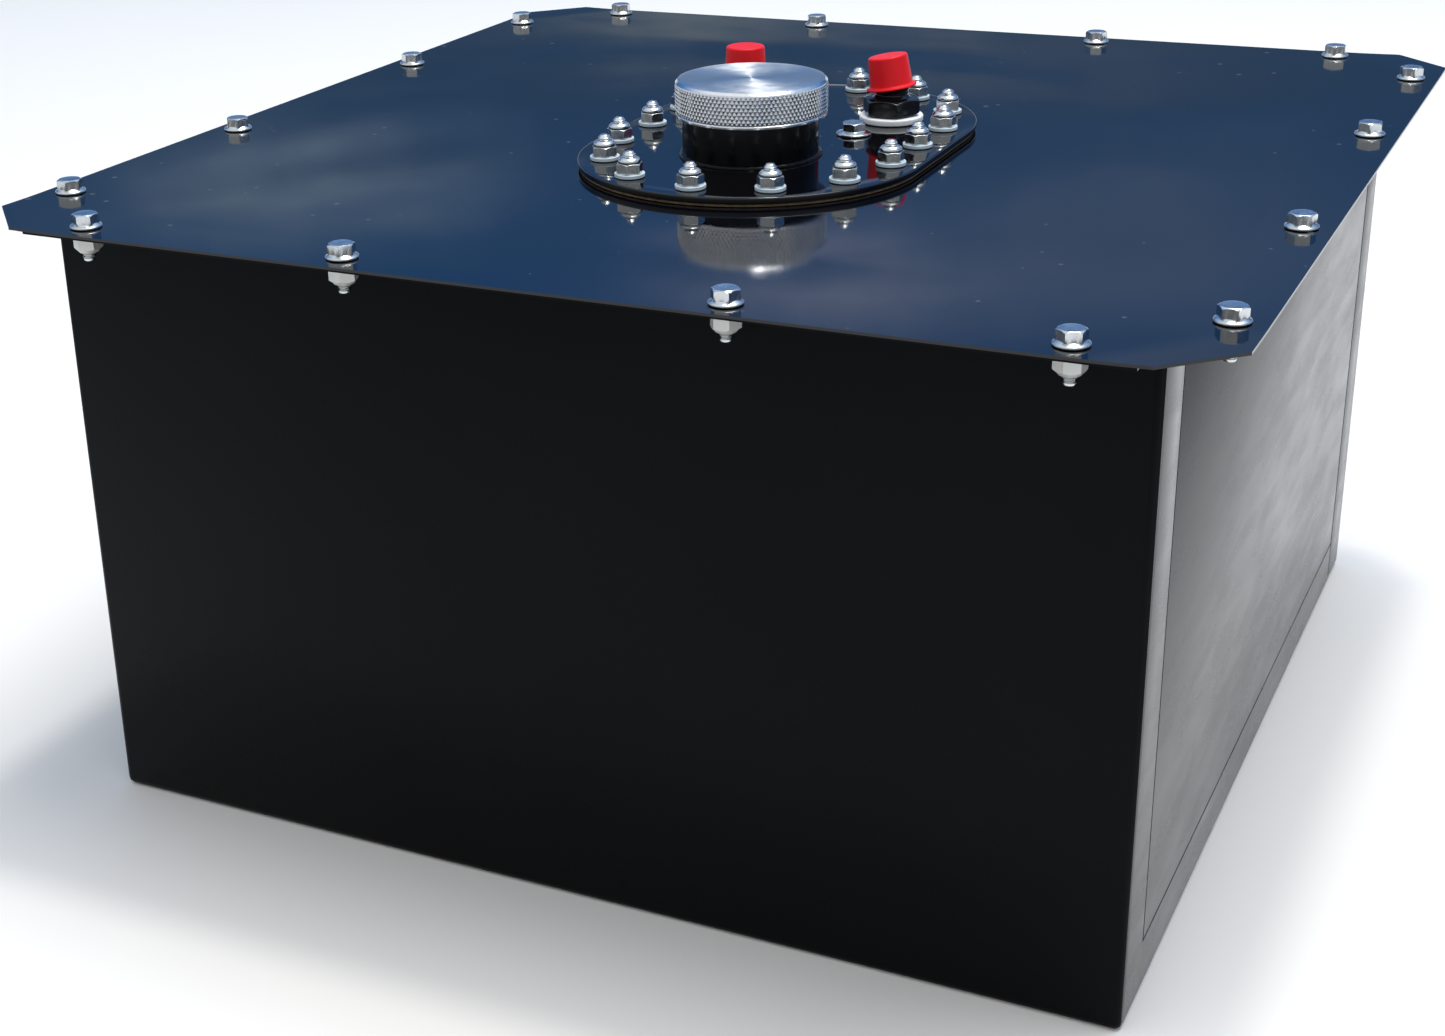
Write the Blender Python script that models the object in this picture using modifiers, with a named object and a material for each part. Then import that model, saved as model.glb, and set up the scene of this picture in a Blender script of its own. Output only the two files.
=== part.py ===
"""Square sheet-steel fluid reservoir: a folded can with a bolted lid, a liner cell with
anti-slosh foam, and a studded fill plate that carries the filler and two hose unions.

Frame: origin at the centre of the can's underside, +X right, +Y to the rear, +Z up. Metres.
"""

import math

import bmesh
import bpy
from mathutils import Matrix, Vector

# Clearance left between pieces that touch.
GAP = 0.0003

# Can: front wall, floor and rear wall are one folded sheet; the side panels are separate.
SHEET = 0.0012
CAN_SIDE = 0.502
RIM_TOP = 0.2935
RIM_REACH = 0.278
BEND_RADIUS = 0.0035
FRONT_FLANGE = 0.0295
REAR_FLANGE = 0.033
FLOOR_FLANGE = 0.0255
GROOVE = 0.0012
GROOVE_FOOT = 0.0055
RELIEF = 0.0045

# Lid.
LID_SIDE = 0.560
LID_CLIP = 0.0277
LID_TOP = RIM_TOP + GAP + SHEET
BOLT_INSET = 0.0135
BOLT_ROW = (-0.220, -0.0865, 0.0865, 0.220)

# Fill plate: a stadium with its long axis along Y, held by a ring of studs.
PLATE_X = 0.0098
PLATE_Y = -0.0243
ARC_OFFSET = 0.0371
STUD_CIRCLE = 0.0691
STUDS_PER_ARC = 7
PLATE_RADIUS = 0.082
MOUTH_RADIUS = 0.060
WELL_RADIUS = 0.058
GASKET_THICK = 0.001
PLATE_THICK = 0.003
PLATE_TOP = LID_TOP + 2 * GAP + GASKET_THICK + PLATE_THICK
PLATE_UNDER = PLATE_TOP - PLATE_THICK
STUD_RADIUS = 0.003
STUD_ABOVE = 0.012
RING_INNER = 0.059
RING_OUTER = 0.0775
RING_THICK = 0.003

# Quarter-inch hardware: holes, washers, nuts and flange bolts.
BOLT_HOLE = 0.0039
HOLE_SIDES = 8
NUT_FLATS = 0.0111
WASHER_RADIUS = 0.007
WASHER_THICK = 0.0016
BOLT_FLANGE_RADIUS = 0.0071
BOLT_HEAD_FLATS = 0.0106
EARTH_FLANGE_RADIUS = 0.0085

# Liner cell and foam.
CELL_HALF = 0.2475
CELL_WALL = 0.003
CELL_FLOOR = SHEET + 0.0004
CELL_TOP = LID_TOP - SHEET - GAP
CELL_ROUND = 0.015
FOAM_HALF = 0.2425
FOAM_ROUND = 0.016
FOAM_TOP = 0.284

# Filler neck, cap and flap valve.
NECK_X = 0.0095
NECK_Y = -0.0605
NECK_RADIUS = 0.032
NECK_THREAD_RADIUS = 0.0306
NECK_BORE = 0.0275
NECK_SPIGOT = 0.0302
NECK_STEP = 0.0182
NECK_TOP = 0.0298
SPIGOT_DEPTH = 0.020
CAP_RADIUS = 0.0357
CAP_FOOT = 0.0186
CAP_HEIGHT = 0.0169
CAP_BORE = 0.0312
SEAL_THICK = 0.002
FLAP_RADIUS = 0.0297
FLAP_THICK = 0.0015
PIN_RADIUS = 0.0015
PIN_OFFSET = 0.034
PIN_RISE = 0.003
PIN_LENGTH = 0.026
LUG_SPACING = 0.009

# Hose unions, their washers and nuts, and the push-on dust caps.
UNION_X = 0.039
UNION_Y = 0.023
UNION_HEX = 0.0254
UNION_HEX_HEIGHT = 0.0082
UNION_THREAD = 0.0086
UNION_SHANK = 0.0093
UNION_BORE = 0.005
UNION_HOLE = 0.0099
UNION_DEPTH = 0.0145
UNION_WASHER_RADIUS = 0.01565
UNION_WASHER_THICK = 0.003
UNION_NUT_HEIGHT = 0.008
DUST_CAP_FOOT = 0.0165
DUST_CAP_HEIGHT = 0.0158
DUST_CAP_TILT = math.radians(9.0)

# Inside the cell.
PICKUP_RADIUS = 0.00635
PICKUP_BORE = 0.005
PICKUP_FOOT = 0.024
FILTER_RADIUS = 0.0155
FILTER_FOOT = 0.0065
FILTER_TOP = 0.046
CAGE_RADIUS = 0.0115
CAGE_HEIGHT = 0.028
BALL_RADIUS = 0.007

EARTH_BOLT_PLACE = (0.042, -0.011)

ROUND = "round"
HEX = "hex"


def clear_scene():
    """Empty the scene of the start-up objects."""
    for obj in list(bpy.data.objects):
        bpy.data.objects.remove(obj, do_unlink=True)


def new_collection(name):
    """A collection linked to the scene."""
    collection = bpy.data.collections.new(name)
    bpy.context.scene.collection.children.link(collection)
    return collection


def finish(name, colour, roughness, metallic):
    """A plain Principled material."""
    material = bpy.data.materials.new(name)
    material.use_nodes = True
    shader = material.node_tree.nodes["Principled BSDF"]
    shader.inputs["Base Color"].default_value = (*colour, 1.0)
    shader.inputs["Roughness"].default_value = roughness
    shader.inputs["Metallic"].default_value = metallic
    return material


def make_finishes():
    """Every material of the reservoir, by slot name."""
    return {
        "black_coat": finish("black_coat", (0.012, 0.013, 0.015), 0.18, 0.0),
        "plate_coat": finish("plate_coat", (0.010, 0.011, 0.013), 0.10, 0.0),
        "zinc": finish("zinc", (0.72, 0.74, 0.77), 0.25, 1.0),
        "turned_alloy": finish("turned_alloy", (0.80, 0.81, 0.82), 0.22, 1.0),
        "black_anodise": finish("black_anodise", (0.015, 0.015, 0.018), 0.30, 0.6),
        "nylon": finish("nylon", (0.82, 0.82, 0.80), 0.45, 0.0),
        "red_plastic": finish("red_plastic", (0.75, 0.02, 0.03), 0.30, 0.0),
        "gasket": finish("gasket", (0.35, 0.28, 0.20), 0.80, 0.0),
        "seal_rubber": finish("seal_rubber", (0.02, 0.02, 0.02), 0.60, 0.0),
        "liner": finish("liner", (0.04, 0.04, 0.045), 0.55, 0.0),
        "foam": finish("foam", (0.75, 0.65, 0.35), 0.95, 0.0),
        "bare_steel": finish("bare_steel", (0.55, 0.56, 0.58), 0.30, 1.0),
        "filter_mesh": finish("filter_mesh", (0.60, 0.60, 0.58), 0.50, 0.8),
    }


def add_object(name, mesh, material, collection, place=(0.0, 0.0, 0.0)):
    """An object for a mesh, with its material, in a collection."""
    obj = bpy.data.objects.new(name, mesh)
    obj.location = place
    if material is not None and not mesh.materials:
        mesh.materials.append(material)
    collection.objects.link(obj)
    return obj


def mesh_from(bm, name):
    """Turn a bmesh into a mesh and free it."""
    mesh = bpy.data.meshes.new(name)
    bm.to_mesh(mesh)
    bm.free()
    return mesh


def smooth(mesh, angle=math.radians(35)):
    """Round pieces are smooth, with sharp edges where they turn."""
    mesh.shade_smooth()
    mesh.set_sharp_from_angle(angle=angle)


def turned(name, profile, material, collection, place, sides=28):
    """A turned piece. The profile of (radius, height) pairs runs down the outer side.

    A profile that starts and ends on the axis makes a solid; any other is closed into a ring.
    """
    bm = bmesh.new()
    corners = [bm.verts.new((radius, 0.0, height)) for radius, height in profile]
    for start, end in zip(corners, corners[1:]):
        bm.edges.new((start, end))
    if profile[0][0] > 0.0:
        bm.edges.new((corners[-1], corners[0]))
    obj = add_object(name, mesh_from(bm, name), material, collection, place)
    screw = obj.modifiers.new("turn", "SCREW")
    screw.steps = sides
    screw.render_steps = sides
    screw.use_merge_vertices = True
    screw.merge_threshold = 0.00001
    screw.use_smooth_shade = True
    return obj


def ring_points(kind, radius, height, sides):
    """Points of one section. A hexagon's radius is half its width over the flats."""
    points = []
    for step in range(sides):
        angle = math.tau * step / sides
        reach = radius
        if kind == HEX:
            reach = radius / math.cos((angle % (math.pi / 3)) - math.pi / 6)
        points.append(Vector((reach * math.cos(angle), reach * math.sin(angle), height)))
    return points


def lofted(name, sections, sides=12, hollow=False):
    """A mesh through (kind, radius, height) sections, listed from the top down.

    A hollow piece closes back on its first section; a solid one has flat ends.
    """
    bm = bmesh.new()
    rings = [[bm.verts.new(point) for point in ring_points(*section, sides)]
             for section in sections]
    pairs = list(zip(rings, rings[1:]))
    if hollow:
        pairs.append((rings[-1], rings[0]))
    else:
        bm.faces.new(rings[0])
        bm.faces.new(reversed(rings[-1]))
    for upper, lower in pairs:
        for step in range(sides):
            after = (step + 1) % sides
            bm.faces.new((upper[step], lower[step], lower[after], upper[after]))
    mesh = mesh_from(bm, name)
    smooth(mesh)
    return mesh


def circle(x, y, radius, sides):
    """Outline points of a circle."""
    turns = [math.tau * (step + 0.5) / sides for step in range(sides)]
    return [(x + radius * math.cos(turn), y + radius * math.sin(turn)) for turn in turns]


def stadium(radius, steps=14):
    """Outline of the fill plate's stadium at a given distance from its arcs' centres."""
    points = []
    for start, side in ((0.0, 1.0), (math.pi, -1.0)):
        for step in range(steps + 1):
            turn = start + math.pi * step / steps
            points.append((PLATE_X + radius * math.cos(turn),
                           PLATE_Y + side * ARC_OFFSET + radius * math.sin(turn)))
    return points


def flat_curve(name, outline, holes, thickness, material, collection, base):
    """A flat sheet with holes: a filled 2D curve, extruded. Its lower face is at base."""
    curve = bpy.data.curves.new(name, "CURVE")
    curve.dimensions = "2D"
    curve.fill_mode = "BOTH"
    curve.extrude = thickness / 2
    curve.render_resolution_u = 0
    for points in [outline, *holes]:
        spline = curve.splines.new("POLY")
        spline.points.add(len(points) - 1)
        for target, (x, y) in zip(spline.points, points):
            target.co = (x, y, 0.0, 1.0)
        spline.use_cyclic_u = True
    return add_object(name, curve, material, collection, (0.0, 0.0, base + thickness / 2))


def curve_to_mesh(obj, collection):
    """Replace a curve object by a closed mesh object of the same name."""
    bpy.context.view_layer.update()
    evaluated = obj.evaluated_get(bpy.context.evaluated_depsgraph_get())
    mesh = bpy.data.meshes.new_from_object(evaluated)
    bm = bmesh.new()
    bm.from_mesh(mesh)
    bmesh.ops.remove_doubles(bm, verts=bm.verts, dist=0.00001)
    bm.to_mesh(mesh)
    bm.free()
    name = obj.name
    place = obj.matrix_world.copy()
    bpy.data.objects.remove(obj, do_unlink=True)
    piece = add_object(name, mesh, None, collection)
    piece.matrix_world = place
    return piece


def box_mesh(name, low, high):
    """A box between two corners."""
    size = [top - bottom for bottom, top in zip(low, high)]
    centre = [(top + bottom) / 2 for bottom, top in zip(low, high)]
    bm = bmesh.new()
    bmesh.ops.create_cube(bm, size=1.0, matrix=Matrix.Translation(centre) @ Matrix.Diagonal((*size, 1.0)))
    return mesh_from(bm, name)


def cylinders_mesh(name, places, radius, low, high, sides):
    """One upright cylinder at each (x, y) place."""
    bm = bmesh.new()
    for x, y in places:
        bmesh.ops.create_cone(
            bm, cap_ends=True, segments=sides, radius1=radius, radius2=radius, depth=high - low,
            matrix=Matrix.Translation((x, y, (low + high) / 2)) @ Matrix.Rotation(math.pi / sides, 4, "Z"))
    return mesh_from(bm, name)


def cross_cylinder_mesh(name, centre, radius, length, sides=12):
    """A cylinder along X."""
    bm = bmesh.new()
    bmesh.ops.create_cone(bm, cap_ends=True, segments=sides, radius1=radius, radius2=radius, depth=length,
                          matrix=Matrix.Translation(centre) @ Matrix.Rotation(math.pi / 2, 4, "Y"))
    return mesh_from(bm, name)


def cutter(mesh, cutters):
    """A helper object that cuts or joins, and never shows."""
    obj = add_object(mesh.name, mesh, None, cutters)
    obj.hide_render = True
    obj.display_type = "WIRE"
    return obj


def combine(obj, helper, operation):
    """Add an exact Boolean to a piece."""
    boolean = obj.modifiers.new(operation.lower(), "BOOLEAN")
    boolean.operation = operation
    boolean.solver = "EXACT"
    boolean.object = helper


def stud_places():
    """The sixteen stud centres: seven on each arc and one midway along each straight side."""
    places = []
    for side in (1.0, -1.0):
        for step in range(STUDS_PER_ARC):
            turn = math.pi * step / (STUDS_PER_ARC - 1)
            places.append((PLATE_X + STUD_CIRCLE * math.cos(turn),
                           PLATE_Y + side * (ARC_OFFSET + STUD_CIRCLE * math.sin(turn))))
    places.append((PLATE_X + STUD_CIRCLE, PLATE_Y))
    places.append((PLATE_X - STUD_CIRCLE, PLATE_Y))
    return places


def lid_bolt_places():
    """The lid's bolt centres, four along each side."""
    edge = LID_SIDE / 2 - BOLT_INSET
    front_and_rear = [(x, y) for y in (-edge, edge) for x in BOLT_ROW]
    left_and_right = [(x, y) for x in (-edge, edge) for y in BOLT_ROW]
    return front_and_rear + left_and_right


def bolt_holes(places):
    """Outlines of small clearance holes."""
    return [circle(x, y, BOLT_HOLE, HOLE_SIDES) for x, y in places]


def cut_lines(bm, axis, places):
    """Cut a bmesh across an axis at each place."""
    normal = Vector([1.0 if index == axis else 0.0 for index in range(3)])
    for place in places:
        geometry = bm.verts[:] + bm.edges[:] + bm.faces[:]
        bmesh.ops.bisect_plane(bm, geom=geometry, plane_co=normal * place, plane_no=normal, dist=1e-7)


def drop_faces(bm, test):
    """Delete the faces whose centre and normal pass a test."""
    doomed = [face for face in bm.faces if test(face.calc_center_median(), face.normal)]
    bmesh.ops.delete(bm, geom=doomed, context="FACES")


def fold_rim(bm, axis):
    """Fold a rim outwards from the top edges of the walls that face along an axis."""
    top = RIM_TOP - SHEET
    edges = [edge for edge in bm.edges if edge.is_boundary and all(
        abs(vert.co.z - top) < 1e-6 and abs(vert.co[axis]) > CAN_SIDE / 2 - 2 * SHEET - GAP
        for vert in edge.verts) and abs(edge.verts[0].co[1 - axis] - edge.verts[1].co[1 - axis]) > 1e-6]
    grown = bmesh.ops.extrude_edge_only(bm, edges=edges)["geom"]
    for vert in [item for item in grown if isinstance(item, bmesh.types.BMVert)]:
        vert.co[axis] = math.copysign(RIM_REACH, vert.co[axis])


def face_outwards(bm, axis):
    """Make an open sheet's normals agree, with its walls facing away from the can's centre."""
    bmesh.ops.recalc_face_normals(bm, faces=bm.faces)
    bm.normal_update()
    wall = max(bm.faces, key=lambda face: abs(face.normal[axis]) * face.calc_area())
    if wall.normal[axis] * wall.calc_center_median()[axis] < 0.0:
        bmesh.ops.reverse_faces(bm, faces=bm.faces)


def thicken(obj):
    """Give an open sheet its thickness, inwards from its outer face."""
    solidify = obj.modifiers.new("sheet", "SOLIDIFY")
    solidify.thickness = SHEET
    solidify.offset = -1.0
    solidify.use_even_offset = True


def make_wrap_panel(finishes, parts, cutters):
    """Front wall, floor and rear wall from one sheet, with flanges that lap the side panels."""
    half = CAN_SIDE / 2
    top = RIM_TOP - SHEET
    front = FRONT_FLANGE - half
    rear = half - REAR_FLANGE
    bm = bmesh.new()
    bm.from_mesh(box_mesh("wrap_cage", (-half, -half, 0.0), (half, half, top)))
    drop_faces(bm, lambda centre, normal: normal.z > 0.9)
    cut_lines(bm, 0, (RELIEF - half, half - RELIEF))
    cut_lines(bm, 1, (front, rear - GROOVE, rear))
    cut_lines(bm, 2, (GROOVE_FOOT, FLOOR_FLANGE, top - RELIEF))

    def is_open(centre, normal):
        on_side = abs(normal.x) > 0.9
        in_window = front < centre.y < rear and centre.z > FLOOR_FLANGE
        in_groove = rear - GROOVE < centre.y < rear and centre.z > GROOVE_FOOT
        in_relief = centre.z > top - RELIEF and (on_side or abs(centre.x) > half - RELIEF)
        return on_side and (in_window or in_groove) or in_relief

    drop_faces(bm, is_open)
    fold_rim(bm, 1)
    face_outwards(bm, 1)
    obj = add_object("wrap_panel", mesh_from(bm, "wrap_panel"), finishes["black_coat"], parts)
    bevel = obj.modifiers.new("bends", "BEVEL")
    bevel.width = BEND_RADIUS
    bevel.segments = 3
    bevel.limit_method = "ANGLE"
    bevel.angle_limit = math.radians(60)
    thicken(obj)
    edge = LID_SIDE / 2 - BOLT_INSET
    places = [(x, y) for x, y in lid_bolt_places() if abs(abs(y) - edge) < 1e-9]
    combine(obj, cutter(cylinders_mesh("wrap_bolt_holes", places, BOLT_HOLE, RIM_TOP - 0.01,
                                       RIM_TOP + 0.01, HOLE_SIDES), cutters), "DIFFERENCE")
    return obj


def make_side_panel(name, side, finishes, parts, cutters):
    """A side wall whose margins are joggled in, behind the wrap panel's flanges."""
    half = CAN_SIDE / 2
    behind = half - SHEET - GAP
    reach = half - BEND_RADIUS - GAP
    foot = BEND_RADIUS + GAP
    top = RIM_TOP - SHEET
    front = FRONT_FLANGE - half
    rear = half - REAR_FLANGE
    bm = bmesh.new()
    bm.from_mesh(box_mesh("side_cage", (0.0, -reach, foot), (behind, reach, top)))
    drop_faces(bm, lambda centre, normal: normal.x < 0.9)
    cut_lines(bm, 1, (front, front + GROOVE, rear - 2 * GROOVE, rear - GROOVE))
    cut_lines(bm, 2, (FLOOR_FLANGE, FLOOR_FLANGE + GROOVE, top - RELIEF - GROOVE, top - RELIEF))
    for vert in bm.verts:
        along = front + GROOVE - 1e-6 < vert.co.y < rear - 2 * GROOVE + 1e-6
        upright = FLOOR_FLANGE + GROOVE - 1e-6 < vert.co.z < top - RELIEF - GROOVE + 1e-6
        if along and upright:
            vert.co.x = half
    fold_rim(bm, 0)
    bmesh.ops.scale(bm, vec=(side, 1.0, 1.0), verts=bm.verts)
    face_outwards(bm, 0)
    obj = add_object(name, mesh_from(bm, name), finishes["black_coat"], parts)
    thicken(obj)
    edge = side * (LID_SIDE / 2 - BOLT_INSET)
    places = [(x, y) for x, y in lid_bolt_places() if abs(x - edge) < 1e-9]
    combine(obj, cutter(cylinders_mesh(name + "_bolt_holes", places, BOLT_HOLE, RIM_TOP - 0.01,
                                       RIM_TOP + 0.01, HOLE_SIDES), cutters), "DIFFERENCE")
    return obj


def make_lid(finishes, parts):
    """The square lid, with clipped corners, bolt holes, stud holes and the mouth."""
    half = LID_SIDE / 2
    inner = half - LID_CLIP
    outline = []
    for x, y in ((1, 1), (-1, 1), (-1, -1), (1, -1)):
        corner = [(x * half, y * inner), (x * inner, y * half)]
        outline += corner if x * y > 0 else corner[::-1]
    holes = bolt_holes(lid_bolt_places()) + bolt_holes(stud_places()) + [stadium(MOUTH_RADIUS)]
    flat_curve("lid", outline, holes, SHEET, finishes["black_coat"], parts, LID_TOP - SHEET)


def make_fill_plate(finishes, parts):
    """The fill plate, with holes for its studs, the neck, the unions and the earth bolt."""
    holes = bolt_holes(stud_places() + [EARTH_BOLT_PLACE])
    holes.append(circle(NECK_X, NECK_Y, NECK_SPIGOT + 3 * GAP, 32))
    holes += [circle(PLATE_X + side * UNION_X, UNION_Y, UNION_HOLE, 16) for side in (1, -1)]
    flat_curve("fill_plate", stadium(PLATE_RADIUS), holes, PLATE_THICK, finishes["plate_coat"], parts,
               PLATE_UNDER)
    holes = bolt_holes(stud_places()) + [stadium(MOUTH_RADIUS)]
    flat_curve("plate_gasket", stadium(PLATE_RADIUS - 0.0010), holes, GASKET_THICK, finishes["gasket"],
               parts, LID_TOP + GAP)


def make_stud_ring(finishes, parts, cutters):
    """The ring inside the cell, with its studs welded in."""
    top = CELL_TOP - CELL_WALL - GAP
    ring = flat_curve("stud_ring", stadium(RING_OUTER), [stadium(RING_INNER)], RING_THICK,
                      finishes["bare_steel"], parts, top - RING_THICK)
    ring = curve_to_mesh(ring, parts)
    studs = cylinders_mesh("studs", stud_places(), STUD_RADIUS, top - RING_THICK / 2,
                           PLATE_TOP + STUD_ABOVE, 10)
    combine(ring, cutter(studs, cutters), "UNION")


def make_cell(finishes, parts, cutters):
    """The liner cell: a rounded box with a mouth and stud holes in its top."""
    mesh = box_mesh("inner_cell", (-CELL_HALF, -CELL_HALF, CELL_FLOOR), (CELL_HALF, CELL_HALF, CELL_TOP))
    cell = add_object("inner_cell", mesh, finishes["liner"], parts)
    bevel = cell.modifiers.new("rounded", "BEVEL")
    bevel.width = CELL_ROUND
    bevel.segments = 2
    wall = cell.modifiers.new("wall", "SOLIDIFY")
    wall.thickness = CELL_WALL
    wall.offset = -1.0
    wall.use_even_offset = True
    mouth = flat_curve("cell_mouth", stadium(MOUTH_RADIUS), [], 0.02, None, cutters, CELL_TOP - 0.01)
    mouth = curve_to_mesh(mouth, cutters)
    mouth.hide_render = True
    mouth.display_type = "WIRE"
    combine(cell, mouth, "DIFFERENCE")
    holes = cylinders_mesh("cell_stud_holes", stud_places(), BOLT_HOLE, CELL_TOP - 0.01,
                           CELL_TOP + 0.01, HOLE_SIDES)
    combine(cell, cutter(holes, cutters), "DIFFERENCE")


def make_foam(finishes, parts, cutters):
    """The anti-slosh foam, with a well under the fill plate."""
    low = CELL_FLOOR + CELL_WALL + 0.0008
    mesh = box_mesh("foam_block", (-FOAM_HALF, -FOAM_HALF, low), (FOAM_HALF, FOAM_HALF, FOAM_TOP))
    foam = add_object("foam_block", mesh, finishes["foam"], parts)
    bevel = foam.modifiers.new("rounded", "BEVEL")
    bevel.width = FOAM_ROUND
    bevel.segments = 2
    well = flat_curve("foam_well", stadium(WELL_RADIUS), [], 2 * FOAM_TOP, None, cutters, -FOAM_TOP / 2)
    well = curve_to_mesh(well, cutters)
    well.hide_render = True
    well.display_type = "WIRE"
    combine(foam, well, "DIFFERENCE")


def make_lid_fasteners(finishes, parts):
    """Flange bolts through lid and rim, each with its lock nut."""
    head = BOLT_HEAD_FLATS / 2
    nut = NUT_FLATS / 2
    seat = GAP
    nut_top = -(2 * SHEET + 2 * GAP)
    sections = [
        (HEX, head, seat + 0.0062), (HEX, head, seat + 0.0018),
        (ROUND, BOLT_FLANGE_RADIUS, seat + 0.0011), (ROUND, BOLT_FLANGE_RADIUS, seat),
        (ROUND, STUD_RADIUS, seat), (ROUND, STUD_RADIUS, nut_top), (HEX, nut, nut_top),
        (HEX, nut, nut_top - 0.0055), (ROUND, 0.84 * nut, nut_top - 0.008),
        (ROUND, STUD_RADIUS, nut_top - 0.008), (ROUND, STUD_RADIUS, nut_top - 0.012),
    ]
    mesh = lofted("lid_fastener", sections)
    for number, (x, y) in enumerate(lid_bolt_places(), start=1):
        add_object(f"lid_fastener_{number:02d}", mesh, finishes["zinc"], parts, (x, y, LID_TOP))


def make_plate_nuts(finishes, parts):
    """A washer and lock nut on each stud of the fill plate."""
    nut = NUT_FLATS / 2
    bore = STUD_RADIUS + 2 * GAP
    top = GAP + WASHER_THICK
    sections = [
        (ROUND, bore, top + 0.0076), (ROUND, 0.80 * nut, top + 0.0076),
        (HEX, nut, top + 0.0052), (HEX, nut, top), (ROUND, WASHER_RADIUS, top),
        (ROUND, WASHER_RADIUS, GAP), (ROUND, bore, GAP),
    ]
    mesh = lofted("plate_nut", sections, hollow=True)
    for number, (x, y) in enumerate(stud_places(), start=1):
        add_object(f"plate_nut_{number:02d}", mesh, finishes["zinc"], parts, (x, y, PLATE_TOP))


def make_earth_bolt(finishes, parts):
    """The earth-strap bolt on the fill plate, with its nut underneath."""
    head = BOLT_HEAD_FLATS / 2
    nut = NUT_FLATS / 2
    under = -(PLATE_THICK + GAP)
    sections = [
        (HEX, head, GAP + 0.0058), (HEX, head, GAP + 0.0018),
        (ROUND, EARTH_FLANGE_RADIUS, GAP + 0.0011), (ROUND, EARTH_FLANGE_RADIUS, GAP),
        (ROUND, STUD_RADIUS, GAP), (ROUND, STUD_RADIUS, under), (HEX, nut, under),
        (HEX, nut, under - 0.005), (ROUND, STUD_RADIUS, under - 0.005),
        (ROUND, STUD_RADIUS, under - 0.008),
    ]
    add_object("earth_bolt", lofted("earth_bolt", sections), finishes["zinc"], parts,
               (*EARTH_BOLT_PLACE, PLATE_TOP))


def make_neck(finishes, parts, cutters):
    """The filler neck: threaded top, weld bead at the plate, and a spigot with hinge lugs."""
    profile = [
        (NECK_THREAD_RADIUS, NECK_TOP), (NECK_THREAD_RADIUS, NECK_STEP), (NECK_RADIUS, NECK_STEP - 0.0005),
        (NECK_RADIUS, 0.003), (NECK_RADIUS + 0.0021, 0.0015), (NECK_RADIUS + 0.0026, GAP),
        (NECK_SPIGOT, GAP), (NECK_SPIGOT, -SPIGOT_DEPTH), (NECK_BORE, -SPIGOT_DEPTH), (NECK_BORE, NECK_TOP),
    ]
    place = Vector((NECK_X, NECK_Y, PLATE_TOP))
    neck = turned("filler_neck", profile, finishes["plate_coat"], parts, place)
    pin = place + Vector((0.0, -PIN_OFFSET, PIN_RISE - SPIGOT_DEPTH))
    for side in (-1, 1):
        middle = pin.x + side * LUG_SPACING
        low = (middle - 0.0015, pin.y - 0.0035, pin.z - 0.0027)
        high = (middle + 0.0015, pin.y + 0.0060, pin.z + 0.0035)
        lug = cutter(box_mesh(f"hinge_lug_{side + 2}", low, high), cutters)
        combine(neck, lug, "UNION")
    bore = cross_cylinder_mesh("lug_bore", pin, PIN_RADIUS + 1.5 * GAP, 2 * PIN_LENGTH)
    combine(neck, cutter(bore, cutters), "DIFFERENCE")
    make_flap(pin, finishes, parts, cutters)


def make_flap(pin, finishes, parts, cutters):
    """The sprung flap that closes the neck's spigot, and its pin."""
    closed_top = -PIN_RISE - GAP
    bm = bmesh.new()
    bmesh.ops.create_cone(bm, cap_ends=True, segments=32, radius1=FLAP_RADIUS, radius2=FLAP_RADIUS,
                          depth=FLAP_THICK, matrix=Matrix.Translation((0.0, PIN_OFFSET,
                                                                       closed_top - FLAP_THICK / 2)))
    flap = add_object("filler_flap", mesh_from(bm, "filler_flap"), finishes["bare_steel"], parts, pin)
    arm = box_mesh("flap_arm", (-0.005, -0.0022, closed_top - FLAP_THICK + 0.0002),
                   (0.005, 0.010, closed_top - 0.0002))
    web = box_mesh("flap_web", (-0.006, -0.0020, closed_top - FLAP_THICK - 0.0004), (0.006, 0.0020, 0.0))
    knuckle = cross_cylinder_mesh("flap_knuckle", (0.0, 0.0, 0.0), 0.0028, 0.0136)
    for mesh in (arm, web, knuckle):
        helper = cutter(mesh, cutters)
        helper.location = pin
        combine(flap, helper, "UNION")
    bore_mesh = cross_cylinder_mesh("knuckle_bore", (0.0, 0.0, 0.0), PIN_RADIUS + 1.5 * GAP, 0.05)
    bore = cutter(bore_mesh, cutters)
    bore.location = pin
    combine(flap, bore, "DIFFERENCE")
    mesh = cross_cylinder_mesh("flap_pin", (0.0, 0.0, 0.0), PIN_RADIUS, PIN_LENGTH)
    add_object("flap_pin", mesh, finishes["bare_steel"], parts, pin)


def make_cap(finishes, parts):
    """The screw cap and the seal ring inside it."""
    inside = NECK_TOP + SEAL_THICK + 2 * GAP
    top = CAP_FOOT + CAP_HEIGHT
    profile = [
        (0.0, top), (CAP_RADIUS - 0.0012, top), (CAP_RADIUS, top - 0.0012), (CAP_RADIUS, CAP_FOOT),
        (CAP_BORE, CAP_FOOT), (CAP_BORE, inside), (0.0, inside),
    ]
    place = (NECK_X, NECK_Y, PLATE_TOP)
    turned("filler_cap", profile, finishes["turned_alloy"], parts, place)
    base = NECK_TOP + GAP
    ring = [
        (NECK_THREAD_RADIUS, base + SEAL_THICK), (NECK_THREAD_RADIUS, base), (NECK_BORE - 0.001, base),
        (NECK_BORE - 0.001, base + SEAL_THICK),
    ]
    turned("cap_seal", ring, finishes["seal_rubber"], parts, place)


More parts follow.
